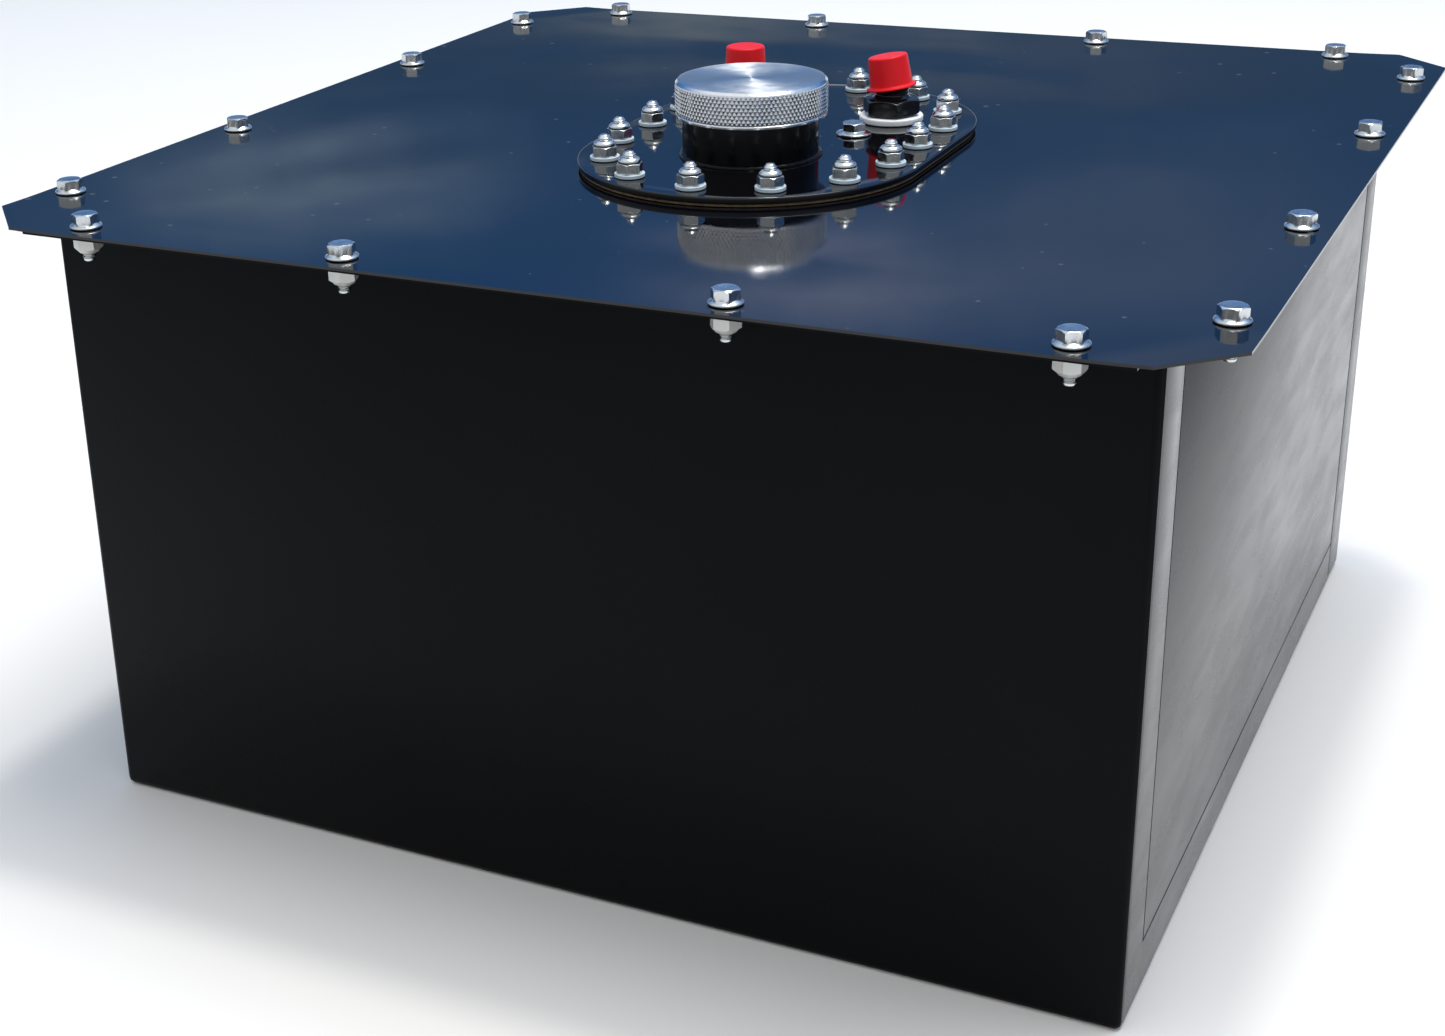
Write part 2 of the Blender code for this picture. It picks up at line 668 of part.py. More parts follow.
def union_sections():
    """Sections of a bulkhead hose union, from its flared nose down to its tail."""
    hex_base = 2 * GAP + UNION_WASHER_THICK
    hex_top = hex_base + UNION_HEX_HEIGHT
    flats = UNION_HEX / 2
    return [
        (ROUND, UNION_BORE, hex_top + 0.0145), (ROUND, 0.0062, hex_top + 0.0145),
        (ROUND, UNION_THREAD, hex_top + 0.0088), (ROUND, UNION_THREAD, hex_top),
        (ROUND, flats * 0.96, hex_top), (HEX, flats, hex_top - 0.0009), (HEX, flats, hex_base),
        (ROUND, UNION_SHANK, hex_base), (ROUND, UNION_SHANK, -UNION_DEPTH),
        (ROUND, UNION_BORE, -UNION_DEPTH),
    ]


def dust_cap_profile():
    """Half-section of a push-on dust cap about its foot, hollow and open below."""
    return [
        (0.0, DUST_CAP_HEIGHT), (0.0086, DUST_CAP_HEIGHT), (0.0095, DUST_CAP_HEIGHT - 0.0009),
        (0.0105, 0.0016), (0.0124, 0.0011), (0.0124, 0.0), (0.00975, 0.0),
        (0.0090, DUST_CAP_HEIGHT - 0.0028), (0.0, DUST_CAP_HEIGHT - 0.0012),
    ]


def make_unions(finishes, parts):
    """Both hose unions, each with its washer, nut and dust cap."""
    hollow_washer = [
        (UNION_WASHER_RADIUS, GAP + UNION_WASHER_THICK), (UNION_WASHER_RADIUS, GAP),
        (UNION_SHANK + 2 * GAP, GAP), (UNION_SHANK + 2 * GAP, GAP + UNION_WASHER_THICK),
    ]
    body = lofted("hose_union", union_sections(), sides=24, hollow=True)
    nut_top = -(PLATE_THICK + GAP)
    nut_bore = UNION_SHANK + 2 * GAP
    nut_flats = UNION_HEX / 2
    nut = lofted("union_nut", [
        (ROUND, nut_bore, nut_top), (HEX, nut_flats, nut_top), (HEX, nut_flats, nut_top - UNION_NUT_HEIGHT),
        (ROUND, nut_bore, nut_top - UNION_NUT_HEIGHT),
    ], sides=24, hollow=True)
    for name, side, tilt in (("feed", 1, DUST_CAP_TILT), ("vent", -1, 0.0)):
        place = Vector((PLATE_X + side * UNION_X, UNION_Y, PLATE_TOP))
        add_object(f"{name}_union", body, finishes["black_anodise"], parts, place)
        add_object(f"{name}_union_nut", nut, finishes["black_anodise"], parts, place)
        turned(f"{name}_washer", hollow_washer, finishes["nylon"], parts, place, sides=24)
        foot = place + Vector((0.0, 0.0, DUST_CAP_FOOT))
        cap = turned(f"{name}_dust_cap", dust_cap_profile(), finishes["red_plastic"], parts, foot, sides=24)
        cap.rotation_euler = (0.0, -tilt, 0.0)


def make_pickup(finishes, parts):
    """The pickup tube under the feed union and the strainer at its foot."""
    x = PLATE_X + UNION_X
    top = PLATE_TOP - UNION_DEPTH - GAP
    tube = [
        (PICKUP_RADIUS, top), (PICKUP_RADIUS, PICKUP_FOOT),
        (PICKUP_BORE, PICKUP_FOOT), (PICKUP_BORE, top),
    ]
    turned("pickup_tube", tube, finishes["bare_steel"], parts, (x, UNION_Y, 0.0), sides=16)
    wall = 0.0015
    hole = PICKUP_RADIUS + 1.5 * GAP
    strainer = [
        (hole, FILTER_TOP), (FILTER_RADIUS, FILTER_TOP - 0.002), (FILTER_RADIUS, FILTER_FOOT),
        (0.0, FILTER_FOOT), (0.0, FILTER_FOOT + wall), (FILTER_RADIUS - wall, FILTER_FOOT + wall),
        (FILTER_RADIUS - wall, FILTER_TOP - 0.0035), (hole, FILTER_TOP - 0.0015),
    ]
    turned("pickup_strainer", strainer, finishes["filter_mesh"], parts, (x, UNION_Y, 0.0), sides=20)


def make_vent_valve(finishes, parts):
    """The rollover valve under the vent union: a ball in a cage."""
    x = PLATE_X - UNION_X
    top = PLATE_TOP - UNION_DEPTH - GAP
    inner = BALL_RADIUS + 0.0012
    cage = [
        (CAGE_RADIUS, 0.0), (CAGE_RADIUS, -CAGE_HEIGHT), (0.0045, -CAGE_HEIGHT),
        (0.0045, 0.0015 - CAGE_HEIGHT), (inner, 0.0045 - CAGE_HEIGHT), (inner, -0.0045),
        (0.0045, -0.002), (0.0045, 0.0),
    ]
    turned("rollover_cage", cage, finishes["nylon"], parts, (x, UNION_Y, top), sides=20)
    bm = bmesh.new()
    bmesh.ops.create_uvsphere(bm, u_segments=16, v_segments=8, radius=BALL_RADIUS)
    mesh = mesh_from(bm, "rollover_ball")
    smooth(mesh)
    rest = top - CAGE_HEIGHT + 0.0076 + GAP
    add_object("rollover_ball", mesh, finishes["bare_steel"], parts, (x, UNION_Y, rest))


def main():
    """Build the whole reservoir."""
    clear_scene()
    parts = new_collection("fluid_reservoir")
    cutters = new_collection("cutters")
    finishes = make_finishes()
    make_wrap_panel(finishes, parts, cutters)
    make_side_panel("side_panel_right", 1, finishes, parts, cutters)
    make_side_panel("side_panel_left", -1, finishes, parts, cutters)
    make_lid(finishes, parts)
    make_fill_plate(finishes, parts)
    make_stud_ring(finishes, parts, cutters)
    make_cell(finishes, parts, cutters)
    make_foam(finishes, parts, cutters)
    make_lid_fasteners(finishes, parts)
    make_plate_nuts(finishes, parts)
    make_earth_bolt(finishes, parts)
    make_neck(finishes, parts, cutters)
    make_cap(finishes, parts)
    make_unions(finishes, parts)
    make_pickup(finishes, parts)
    make_vent_valve(finishes, parts)


main()
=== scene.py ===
"""Looks of a bolted sheet-steel fluid reservoir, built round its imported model, in metres."""
import logging
import math
from collections.abc import Callable, Iterable, Sequence
from dataclasses import dataclass
from enum import Enum

import bmesh
import bpy
from mathutils import Matrix, Vector, noise


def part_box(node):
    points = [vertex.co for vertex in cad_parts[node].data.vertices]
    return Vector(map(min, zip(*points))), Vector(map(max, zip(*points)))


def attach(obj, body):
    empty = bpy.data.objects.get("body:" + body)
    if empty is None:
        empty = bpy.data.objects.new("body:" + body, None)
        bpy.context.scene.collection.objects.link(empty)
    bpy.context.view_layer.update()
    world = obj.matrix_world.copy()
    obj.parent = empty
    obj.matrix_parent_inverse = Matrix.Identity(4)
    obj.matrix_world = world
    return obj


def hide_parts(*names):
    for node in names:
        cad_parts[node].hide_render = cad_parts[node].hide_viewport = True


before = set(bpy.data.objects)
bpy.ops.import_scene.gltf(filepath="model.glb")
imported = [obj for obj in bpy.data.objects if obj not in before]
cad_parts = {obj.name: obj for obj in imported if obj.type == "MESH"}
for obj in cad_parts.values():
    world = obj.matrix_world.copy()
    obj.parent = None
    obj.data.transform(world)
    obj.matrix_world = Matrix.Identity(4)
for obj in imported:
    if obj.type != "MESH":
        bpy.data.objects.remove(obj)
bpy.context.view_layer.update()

log = logging.getLogger("reservoir")
Colour = tuple[float, float, float]
Reach = float | Callable[[float], float]
Point = tuple[float, float]

SLIT = 0.0003  # the air that touching pieces keep between them
GOLDEN_TURN = 2.39996  # turns each fastener by a different amount


class Body(Enum):
    """The moving bodies that a piece can ride on."""

    TANK = "reservoir"
    CARRIER = "cap_carrier"
    CAP = "cap"
    FLAP = "flap"
    FEED_CAP = "feed_cap"
    VENT_CAP = "vent_cap"
    BALL = "vent_ball"


# ---------------------------------------------------------------- finishes


class Sheet:
    """One material's node tree, with short calls for the nodes that the finishes share."""

    def __init__(self, name: str, sky: bpy.types.NodeTree | None = None) -> None:
        """Starts a material with a Principled shader and Object coordinates, or takes on a sky.

        Args:
            name: the material's name.
            sky: a world's node tree, or None for a new material.
        """
        if sky is not None:
            self.tree = sky
            self.place = self.node("TexCoord").outputs["Generated"]
            return
        self.material = bpy.data.materials.new(name)
        self.material.use_nodes = True
        self.tree = self.material.node_tree
        self.shader = self.tree.nodes["Principled BSDF"]
        self.place = self.node("TexCoord").outputs["Object"]

    def feed(self, socket: bpy.types.NodeSocket, value: object) -> None:
        """Links a socket to another, or gives it a plain value.

        Args:
            socket: the input to fill.
            value: an output socket, or the value itself.
        """
        if isinstance(value, bpy.types.NodeSocket):
            self.tree.links.new(value, socket)
        else:
            socket.default_value = value

    def node(self, kind: str, settings: dict | None = None, inputs: dict | None = None) -> bpy.types.Node:
        """Adds one shader node.

        Args:
            kind: the node type after "ShaderNode".
            settings: attributes to set on it.
            inputs: values or sockets for its inputs, by name or number.

        Returns:
            The new node.
        """
        made = self.tree.nodes.new("ShaderNode" + kind)
        for name, value in (settings or {}).items():
            setattr(made, name, value)
        for name, value in (inputs or {}).items():
            self.feed(made.inputs[name], value)
        return made

    def maths(self, operation: str, *values: object) -> bpy.types.NodeSocket:
        """Works out one number from others.

        Args:
            operation: the Math node's operation.
            values: its inputs, in order.

        Returns:
            The result's socket.
        """
        return self.node("Math", {"operation": operation}, dict(enumerate(values))).outputs[0]

    def scaled(self, size: float, stretch: Colour = (1.0, 1.0, 1.0)) -> bpy.types.NodeSocket:
        """Gives coordinates counted in patches of a size.

        Args:
            size: the width of one patch, in metres.
            stretch: how much finer the pattern is along each axis.

        Returns:
            The coordinates' socket.
        """
        scale = tuple(part / size for part in stretch)
        return self.node("Mapping", None, {"Vector": self.place, "Scale": scale}).outputs[0]

    def cloud(
        self, size: float, detail: float = 3.0, stretch: Colour = (1.0, 1.0, 1.0),
    ) -> bpy.types.NodeSocket:
        """Makes a soft noise between 0 and 1.

        Args:
            size: the width of its patches, in metres.
            detail: how many finer layers it has.
            stretch: how much finer it is along each axis.

        Returns:
            The noise's socket.
        """
        inputs = {"Vector": self.scaled(size, stretch), "Scale": 1.0, "Detail": detail}
        return self.node("TexNoise", None, inputs).outputs[0]

    def remap(self, value: object, start: float, end: float, low: float, high: float) -> bpy.types.NodeSocket:
        """Maps a number from one span to another, held at the ends.

        Args:
            value: the number's socket.
            start: where the input span starts.
            end: where it ends.
            low: the result at the start.
            high: the result at the end.

        Returns:
            The result's socket.
        """
        return self.node("MapRange", None, dict(enumerate((value, start, end, low, high)))).outputs[0]

    def mix(self, share: object, first: object, second: object) -> bpy.types.NodeSocket:
        """Mixes two colours.

        Args:
            share: how much of the second there is.
            first: a colour or a colour's socket.
            second: the other.

        Returns:
            The mixed colour's socket.
        """
        made = self.node("Mix", {"data_type": "RGBA"}, {0: share})
        for number, colour in ((6, first), (7, second)):
            whole = colour if isinstance(colour, bpy.types.NodeSocket) else (*colour, 1.0)
            self.feed(made.inputs[number], whole)
        return made.outputs[2]

    def bump(self, height: object, depth: float, under: object = None) -> bpy.types.NodeSocket:
        """Raises the surface by a pattern.

        Args:
            height: the pattern, from 0 to 1.
            depth: its height, in metres.
            under: the normal of a bump below it, if there is one.

        Returns:
            The normal's socket.
        """
        inputs = {"Strength": 1.0, "Distance": depth, "Height": height}
        if under is not None:
            inputs["Normal"] = under
        return self.node("Bump", None, inputs).outputs[0]


@dataclass(frozen=True)
class Finish:
    """A finish with mottled colour, uneven gloss, a fine texture and dust."""

    name: str
    slot: str
    colour: Colour
    rough: float
    metal: float = 0.0
    specular: float = 0.5
    mottle: float = 0.15
    mottle_size: float = 0.03
    rough_swing: float = 0.06
    grain_size: float = 0.006
    stretch: Colour = (1.0, 1.0, 1.0)
    texture: float = 0.000004
    texture_size: float = 0.0015
    dust: float = 0.0
    dust_size: float = 0.007

    def base(self, sheet: Sheet) -> bpy.types.NodeSocket:
        """Lays the mottled base colour.

        Args:
            sheet: the material's nodes.

        Returns:
            The colour's socket.
        """
        dark = tuple(part * (1.0 - self.mottle) for part in self.colour)
        light = tuple(min(1.0, part * (1.0 + self.mottle)) for part in self.colour)
        return sheet.mix(sheet.cloud(self.mottle_size), dark, light)

    def relief(self, sheet: Sheet) -> bpy.types.NodeSocket:
        """Lays the fine texture of the surface.

        Args:
            sheet: the material's nodes.

        Returns:
            The normal's socket.
        """
        return sheet.bump(sheet.cloud(self.texture_size, 2.0, self.stretch), self.texture)

    def extras(self, sheet: Sheet) -> None:
        """Sets what only some finishes have; a plain finish has nothing more.

        Args:
            sheet: the material's nodes.
        """

    def material(self) -> bpy.types.Material:
        """Builds the finish once and gives it again on later calls.

        Returns:
            The material.
        """
        known = bpy.data.materials.get(self.name)
        if known is not None:
            return known
        sheet = Sheet(self.name)
        inputs = sheet.shader.inputs
        colour = self.base(sheet)
        rough = sheet.remap(
            sheet.cloud(self.grain_size, 3.0, self.stretch), 0.3, 0.7,
            max(0.01, self.rough - self.rough_swing), self.rough + self.rough_swing,
        )
        if self.dust > 0.0:
            cells = sheet.node("TexVoronoi", None, {"Vector": sheet.scaled(self.dust_size), "Scale": 1.0})
            size = sheet.remap(sheet.cloud(0.09, 2.0), 0.4, 0.65, 0.02, 0.09)
            speck = sheet.maths("MULTIPLY", sheet.maths("LESS_THAN", cells.outputs[0], size), self.dust)
            colour = sheet.mix(speck, colour, (0.45, 0.44, 0.42))
            rough = sheet.maths("ADD", rough, sheet.maths("MULTIPLY", speck, 0.5))
        sheet.feed(inputs["Base Color"], colour)
        sheet.feed(inputs["Roughness"], rough)
        inputs["Metallic"].default_value = self.metal
        inputs["Specular IOR Level"].default_value = self.specular
        sheet.feed(inputs["Normal"], self.relief(sheet))
        self.extras(sheet)
        return sheet.material


@dataclass(frozen=True)
class TurnedFace(Finish):
    """Lathe-turned metal, with rings about the piece's own axis and a sheen across them."""

    centre: Point = (0.0, 0.0)
    ring: float = 0.00035

    def relief(self, sheet: Sheet) -> bpy.types.NodeSocket:
        """Lays the tool's rings.

        Args:
            sheet: the material's nodes.

        Returns:
            The normal's socket.
        """
        offset = (-self.centre[0], -self.centre[1], 0.0)
        about = sheet.node("Mapping", None, {"Vector": sheet.place, "Location": offset}).outputs[0]
        flat = sheet.node("VectorMath", {"operation": "MULTIPLY"}, {0: about, 1: (1.0, 1.0, 0.0)}).outputs[0]
        out = sheet.node("VectorMath", {"operation": "LENGTH"}, {0: flat}).outputs["Value"]
        count = sheet.maths("DIVIDE", out, self.ring)
        marks = sheet.node("TexNoise", {"noise_dimensions": "1D"}, {"W": count, "Scale": 1.0, "Detail": 2.0})
        return sheet.bump(marks.outputs[0], self.texture)

    def extras(self, sheet: Sheet) -> None:
        """Stretches the gloss across the rings.

        Args:
            sheet: the material's nodes.
        """
        sheet.shader.inputs["Anisotropic"].default_value = 0.85
        sheet.shader.inputs["Anisotropic Rotation"].default_value = 0.25
        tangent = sheet.node("Tangent", {"direction_type": "UV_MAP", "uv_map": "turned"})
        sheet.feed(sheet.shader.inputs["Tangent"], tangent.outputs[0])


@dataclass(frozen=True)
class SoftVinyl(Finish):
    """Soft moulded plastic that lets a little light through."""

    glow: float = 0.0015

    def extras(self, sheet: Sheet) -> None:
        """Lets light spread under the skin.

        Args:
            sheet: the material's nodes.
        """
        inputs = sheet.shader.inputs
        inputs["Subsurface Weight"].default_value = 0.2
        inputs["Subsurface Radius"].default_value = (1.0, 0.25, 0.2)
        inputs["Subsurface Scale"].default_value = self.glow


@dataclass(frozen=True)
class PoreShadedFoam(Finish):
    """Open-cell foam, with painted shade in its pores."""

    pore: float = 0.0016

    def base(self, sheet: Sheet) -> bpy.types.NodeSocket:
        """Lays straw-coloured struts round pores darkened as painted shade.

        Args:
            sheet: the material's nodes.

        Returns:
            The colour's socket.
        """
        cells = sheet.node("TexVoronoi", {"feature": "DISTANCE_TO_EDGE"}, {"Vector": sheet.scaled(self.pore)})
        depth = sheet.remap(cells.outputs[0], 0.03, 0.2, 0.0, 1.0)
        # The pore centres fall to a quarter of the straw colour: painted shade inside the pores.
        dark = tuple(part * 0.25 for part in self.colour)
        return sheet.mix(depth, self.colour, dark)

    def relief(self, sheet: Sheet) -> bpy.types.NodeSocket:
        """Sinks the pores.

        Args:
            sheet: the material's nodes.

        Returns:
            The normal's socket.
        """
        cells = sheet.node("TexVoronoi", {"feature": "DISTANCE_TO_EDGE"}, {"Vector": sheet.scaled(self.pore)})
        return sheet.bump(sheet.remap(cells.outputs[0], 0.0, 0.2, 1.0, 0.0), 0.0006)


@dataclass(frozen=True)
class WovenWire(Finish):
    """Fine woven wire mesh."""

    wire: float = 0.0009

    def relief(self, sheet: Sheet) -> bpy.types.NodeSocket:
        """Raises the two directions of wire.

        Args:
            sheet: the material's nodes.

        Returns:
            The normal's socket.
        """
        waves = []
        for direction in ("X", "Z"):
            settings = {"wave_type": "BANDS", "bands_direction": direction}
            waves.append(sheet.node("TexWave", settings, {"Vector": sheet.scaled(self.wire), "Scale": 0.5}))
        return sheet.bump(sheet.maths("MAXIMUM", waves[0].outputs[1], waves[1].outputs[1]), 0.0002)


@dataclass(frozen=True)
class FibreSheet(Finish):
    """Pressed fibre board, streaked along its edge."""

    def base(self, sheet: Sheet) -> bpy.types.NodeSocket:
        """Lays pale fibres over a tan ground.

        Args:
            sheet: the material's nodes.

        Returns:
            The colour's socket.
        """
        fibre = sheet.cloud(0.0022, 4.0, (1.0, 1.0, 5.0))
        dark = tuple(part * 0.55 for part in self.colour)
        light = tuple(min(1.0, part * 1.5) for part in self.colour)
        return sheet.mix(sheet.remap(fibre, 0.35, 0.65, 0.0, 1.0), dark, light)


# The black base leans faintly navy as painted reflection of the blue sky; the gloss and dust specks are real.
LID_COAT_PAINTED_SKY_TINT = Finish("lid_coat_painted_sky_tint", "black_coat", (0.0012, 0.0016, 0.003), 0.06, rough_swing=0.025,
                  grain_size=0.05, texture=0.000002, texture_size=0.0035, dust=0.12, dust_size=0.016)
WALL_COAT = Finish("wall_satin_coat", "black_coat", (0.0026, 0.0029, 0.0035), 0.3, specular=0.06,
                   mottle=0.3, mottle_size=0.12, rough_swing=0.05, grain_size=0.02, texture=0.000006,
                   texture_size=0.003)
# Side faces of the one black coat: the lighter base colour is painted reflection of the bright floor and sky
# that the sides mirror; the gloss and dust are real.
SIDE_COAT_PAINTED_REFLECTION = Finish("side_coat_painted_reflection", "black_coat", (0.035, 0.035, 0.033), 0.26, specular=0.58,
                   rough_swing=0.05, grain_size=0.03, stretch=(1.0, 0.5, 2.0), texture=0.000008,
                   texture_size=0.005, mottle=0.25, mottle_size=0.07, dust=0.05, dust_size=0.03)
PLATE_COAT = Finish("plate_gloss_coat", "plate_coat", (0.0015, 0.0015, 0.002), 0.06, rough_swing=0.025,
                    texture=0.000002, texture_size=0.0025, dust=0.12, dust_size=0.016)
NECK_COAT = Finish("neck_gloss_coat", "plate_coat", (0.0012, 0.0012, 0.0015), 0.2, specular=0.15,
                   texture=0.000003, texture_size=0.003)
ZINC = Finish("clear_zinc_plate", "zinc", (0.66, 0.68, 0.68), 0.22, metal=1.0, mottle=0.08,
              mottle_size=0.004, rough_swing=0.06, grain_size=0.003, texture=0.0000015, texture_size=0.0012)
PALE_WASHER = Finish("pale_washer_plate", "zinc", (0.60, 0.70, 0.76), 0.5, metal=0.35, mottle=0.08,
                     mottle_size=0.003, rough_swing=0.08, texture=0.000006, texture_size=0.0008)
PALE_ZINC = Finish("pale_zinc_plate", "zinc", (0.56, 0.57, 0.54), 0.45, metal=0.6, mottle=0.08,
                   mottle_size=0.004, rough_swing=0.07, texture=0.000005, texture_size=0.0008)
NYLON_INSERT = Finish("lock_nut_insert", "nylon", (0.02, 0.02, 0.022), 0.4, texture=0.000002)
KNURLED = Finish("knurled_alloy", "turned_alloy", (0.78, 0.80, 0.83), 0.17, metal=1.0, mottle=0.06,
                 mottle_size=0.003, texture=0.000002, texture_size=0.0006)
ANODISED = Finish("black_anodising", "black_anodise", (0.006, 0.006, 0.007), 0.16, texture=0.000002,
                  texture_size=0.0009, rough_swing=0.05)
NYLON = Finish("white_nylon", "nylon", (0.82, 0.84, 0.86), 0.35, mottle=0.03, mottle_size=0.006,
               texture=0.000006, texture_size=0.001)
VINYL = SoftVinyl("red_vinyl", "red_plastic", (0.70, 0.005, 0.011), 0.42, specular=0.25, mottle=0.08,
                  mottle_size=0.006, texture=0.00001, texture_size=0.0012)
# The board's tan is darkened as painted shade for the shadow under the plate's edge; the fibre streaks are
# real.
GASKET_BOARD_PAINTED_SHADE = FibreSheet("tan_gasket_board_painted_shade", "gasket", (0.13, 0.09, 0.05), 0.8, texture=0.00002,
                          texture_size=0.0008)
NITRILE = Finish("nitrile_rubber", "seal_rubber", (0.012, 0.012, 0.012), 0.5, texture=0.00001)
LINER = Finish("moulded_liner", "liner", (0.03, 0.03, 0.034), 0.45, mottle=0.3, texture=0.00002,
               texture_size=0.004)
FOAM = PoreShadedFoam("straw_foam_painted_pore_shade", "foam", (0.72, 0.60, 0.30), 0.95)
STEEL = Finish("brushed_steel", "bare_steel", (0.52, 0.53, 0.55), 0.3, metal=1.0, rough_swing=0.1,
               grain_size=0.002, stretch=(1.0, 1.0, 12.0), texture=0.000006, texture_size=0.001)
WIRE = WovenWire("woven_wire", "filter_mesh", (0.58, 0.58, 0.56), 0.35, metal=1.0)


# ---------------------------------------------------------------- shapes


class Skin:
    """A closed surface grown ring by ring about a vertical axis, round or stadium-shaped."""

    def __init__(self, segments: int = 48, spread: float = 0.0, bm: bmesh.types.BMesh | None = None) -> None:
        """Lays the first circle.

        Args:
            segments: how many sides the rings have.
            spread: how far the two half circles of a stadium stand from its middle.
            bm: a mesh to build in, or None for a new one.
        """
        self.bm = bm or bmesh.new()
        self.spread = spread
        layers = self.bm.verts.layers.float
        self.turn = layers.get("turn") or layers.new("turn")
        circle = bmesh.ops.create_circle(self.bm, segments=segments, radius=1.0)["verts"]
        for vert in circle:
            vert[self.turn] = math.atan2(vert.co.y, vert.co.x)
        self.verts = list(circle)
        self.rim = list({edge for vert in circle for edge in vert.link_edges})
        self.first: list[bmesh.types.BMEdge] = []

    def ring(self, radius: Reach, height: Reach, finish: int = 0) -> "Skin":
        """Grows one ring.

        Args:
            radius: its radius, or a function of the angle.
            height: its height, or a function of the angle.
            finish: the material number of the band below it.

        Returns:
            The skin itself.
        """
        if not self.first:
            self.first = self.rim
            verts = self.verts
        else:
            grown = bmesh.ops.extrude_edge_only(self.bm, edges=self.rim)["geom"]
            verts = [item for item in grown if isinstance(item, bmesh.types.BMVert)]
            fresh = set(verts)
            self.rim = [
                item for item in grown
                if isinstance(item, bmesh.types.BMEdge) and fresh.issuperset(item.verts)
            ]
            for edge in self.rim:
                for face in edge.link_faces:
                    face.material_index = finish
            self.verts = self.verts + verts
        for vert in verts:
            angle = vert[self.turn]
            reach = radius(angle) if callable(radius) else radius
            level = height(angle) if callable(height) else height
            side = math.copysign(self.spread, math.sin(angle))
            vert.co = (reach * math.cos(angle), reach * math.sin(angle) + side, level)
        return self

    def rings(self, outline: Iterable[Point], finish: int = 0) -> "Skin":
        """Grows a ring for each point of an outline.

        Args:
            outline: (radius, height) points.
            finish: the material number of the bands.

        Returns:
            The skin itself.
        """
        for radius, height in outline:
            self.ring(radius, height, finish)
        return self

    def thread(self, crest: float, start: float, end: float, pitch: float) -> "Skin":
        """Grows a screw thread as close rings.

        Args:
            crest: the radius over the thread.
            start: the height where it starts.
            end: the height where it ends.
            pitch: the height of one turn.

        Returns:
            The skin itself.
        """
        turns = max(1, round(abs(end - start) / pitch))
        step = (end - start) / turns
        for turn in range(turns):
            self.ring(crest - pitch * 0.55, start + step * turn)
            self.ring(crest, start + step * (turn + 0.5))
        return self.ring(crest - pitch * 0.55, end)

    def close(self) -> "Skin":
        """Fills the first ring and the last one."""
        bmesh.ops.edgeloop_fill(self.bm, edges=self.first)
        bmesh.ops.edgeloop_fill(self.bm, edges=self.rim)
        return self

    def join(self) -> "Skin":
        """Joins the last ring to the first, as on a washer or a tube."""
        bmesh.ops.bridge_loops(self.bm, edges=self.first + self.rim)
        return self

    def at(self, place: Point, turned: float = 0.0, lean: float = 0.0, pivot: float = 0.0) -> "Skin":
        """Turns the skin about its axis, leans it towards -X and stands it at a place.

        Args:
            place: the x and y of its axis.
            turned: the turn about the axis.
            lean: how far its top leans.
            pivot: the height that it leans about.

        Returns:
            The skin itself.
        """
        about = Matrix.Translation((0.0, 0.0, pivot))
        leaned = about @ Matrix.Rotation(-lean, 4, "Y") @ about.inverted()
        whole = Matrix.Translation((*place, 0.0)) @ leaned @ Matrix.Rotation(turned, 4, "Z")
        bmesh.ops.transform(self.bm, matrix=whole, verts=self.verts)
        return self


def hexagon(flats: float) -> Callable[[float], float]:
    """Gives the reach of a hexagon.

    Args:
        flats: its width across flats.

    Returns:
        A function from angle to reach.
    """
    third = math.pi / 3.0

    def reach(angle: float) -> float:
        """Returns the hexagon's reach at an angle."""
        return flats / 2.0 / math.cos((angle + third / 2.0) % third - third / 2.0)

    return reach


def chamfer(
    outline: Callable[[float], float], land: float, top: float, down: float = 1.0,
) -> Callable[[float], float]:
    """Gives the height of a 30-degree chamfer cut on a hexagon's corners.

    Args:
        outline: the hexagon's reach.
        land: the radius where the chamfer starts.
        top: the height of the flat face.
        down: 1 where the corners are cut down from a top, -1 where they are cut up from a foot.

    Returns:
        A function from angle to height.
    """
    slope = math.tan(math.radians(30.0))
    return lambda angle: top - down * max(0.0, outline(angle) - land) * slope


def rounded(corners: Sequence[tuple[float, float, float]], steps: int = 4) -> list[Point]:
    """Runs an outline through corners, each eased by its own setback.

    Args:
        corners: (radius, height, setback) of each corner.
        steps: how many spans each eased corner has.

    Returns:
        The outline's points.
    """
    points: list[Point] = []
    for number, (x, y, ease) in enumerate(corners):
        if ease <= 0.0 or number in (0, len(corners) - 1):
            points.append((x, y))
            continue
        here = Vector((x, y))
        start = here + (Vector(corners[number - 1][:2]) - here).normalized() * ease
        end = here + (Vector(corners[number + 1][:2]) - here).normalized() * ease
        for step in range(steps + 1):
            share = step / steps
            spot = start.lerp(here, share).lerp(here.lerp(end, share), share)
            points.append((spot.x, spot.y))
    return points


def soften(bm: bmesh.types.BMesh, width: float, angle: float = 40.0, segments: int = 2) -> None:
    """Rounds every edge that is sharper than an angle.

    Args:
        bm: the mesh.
        width: how far the rounding reaches.
        angle: the least angle that is rounded, in degrees.
        segments: how many faces each rounding has.
    """
    bmesh.ops.recalc_face_normals(bm, faces=bm.faces)
    sharp = [
        edge for edge in bm.edges
        if len(edge.link_faces) == 2 and edge.calc_face_angle(0.0) > math.radians(angle)
    ]
    bmesh.ops.bevel(
        bm, geom=sharp, offset=width, segments=segments, profile=0.5, affect="EDGES",
        material=-1, clamp_overlap=True,
    )


@dataclass(frozen=True)
class Hole:
    """A straight hole, round or stadium-shaped."""

    place: Point
    radius: float
    spread: float = 0.0
    segments: int = 32


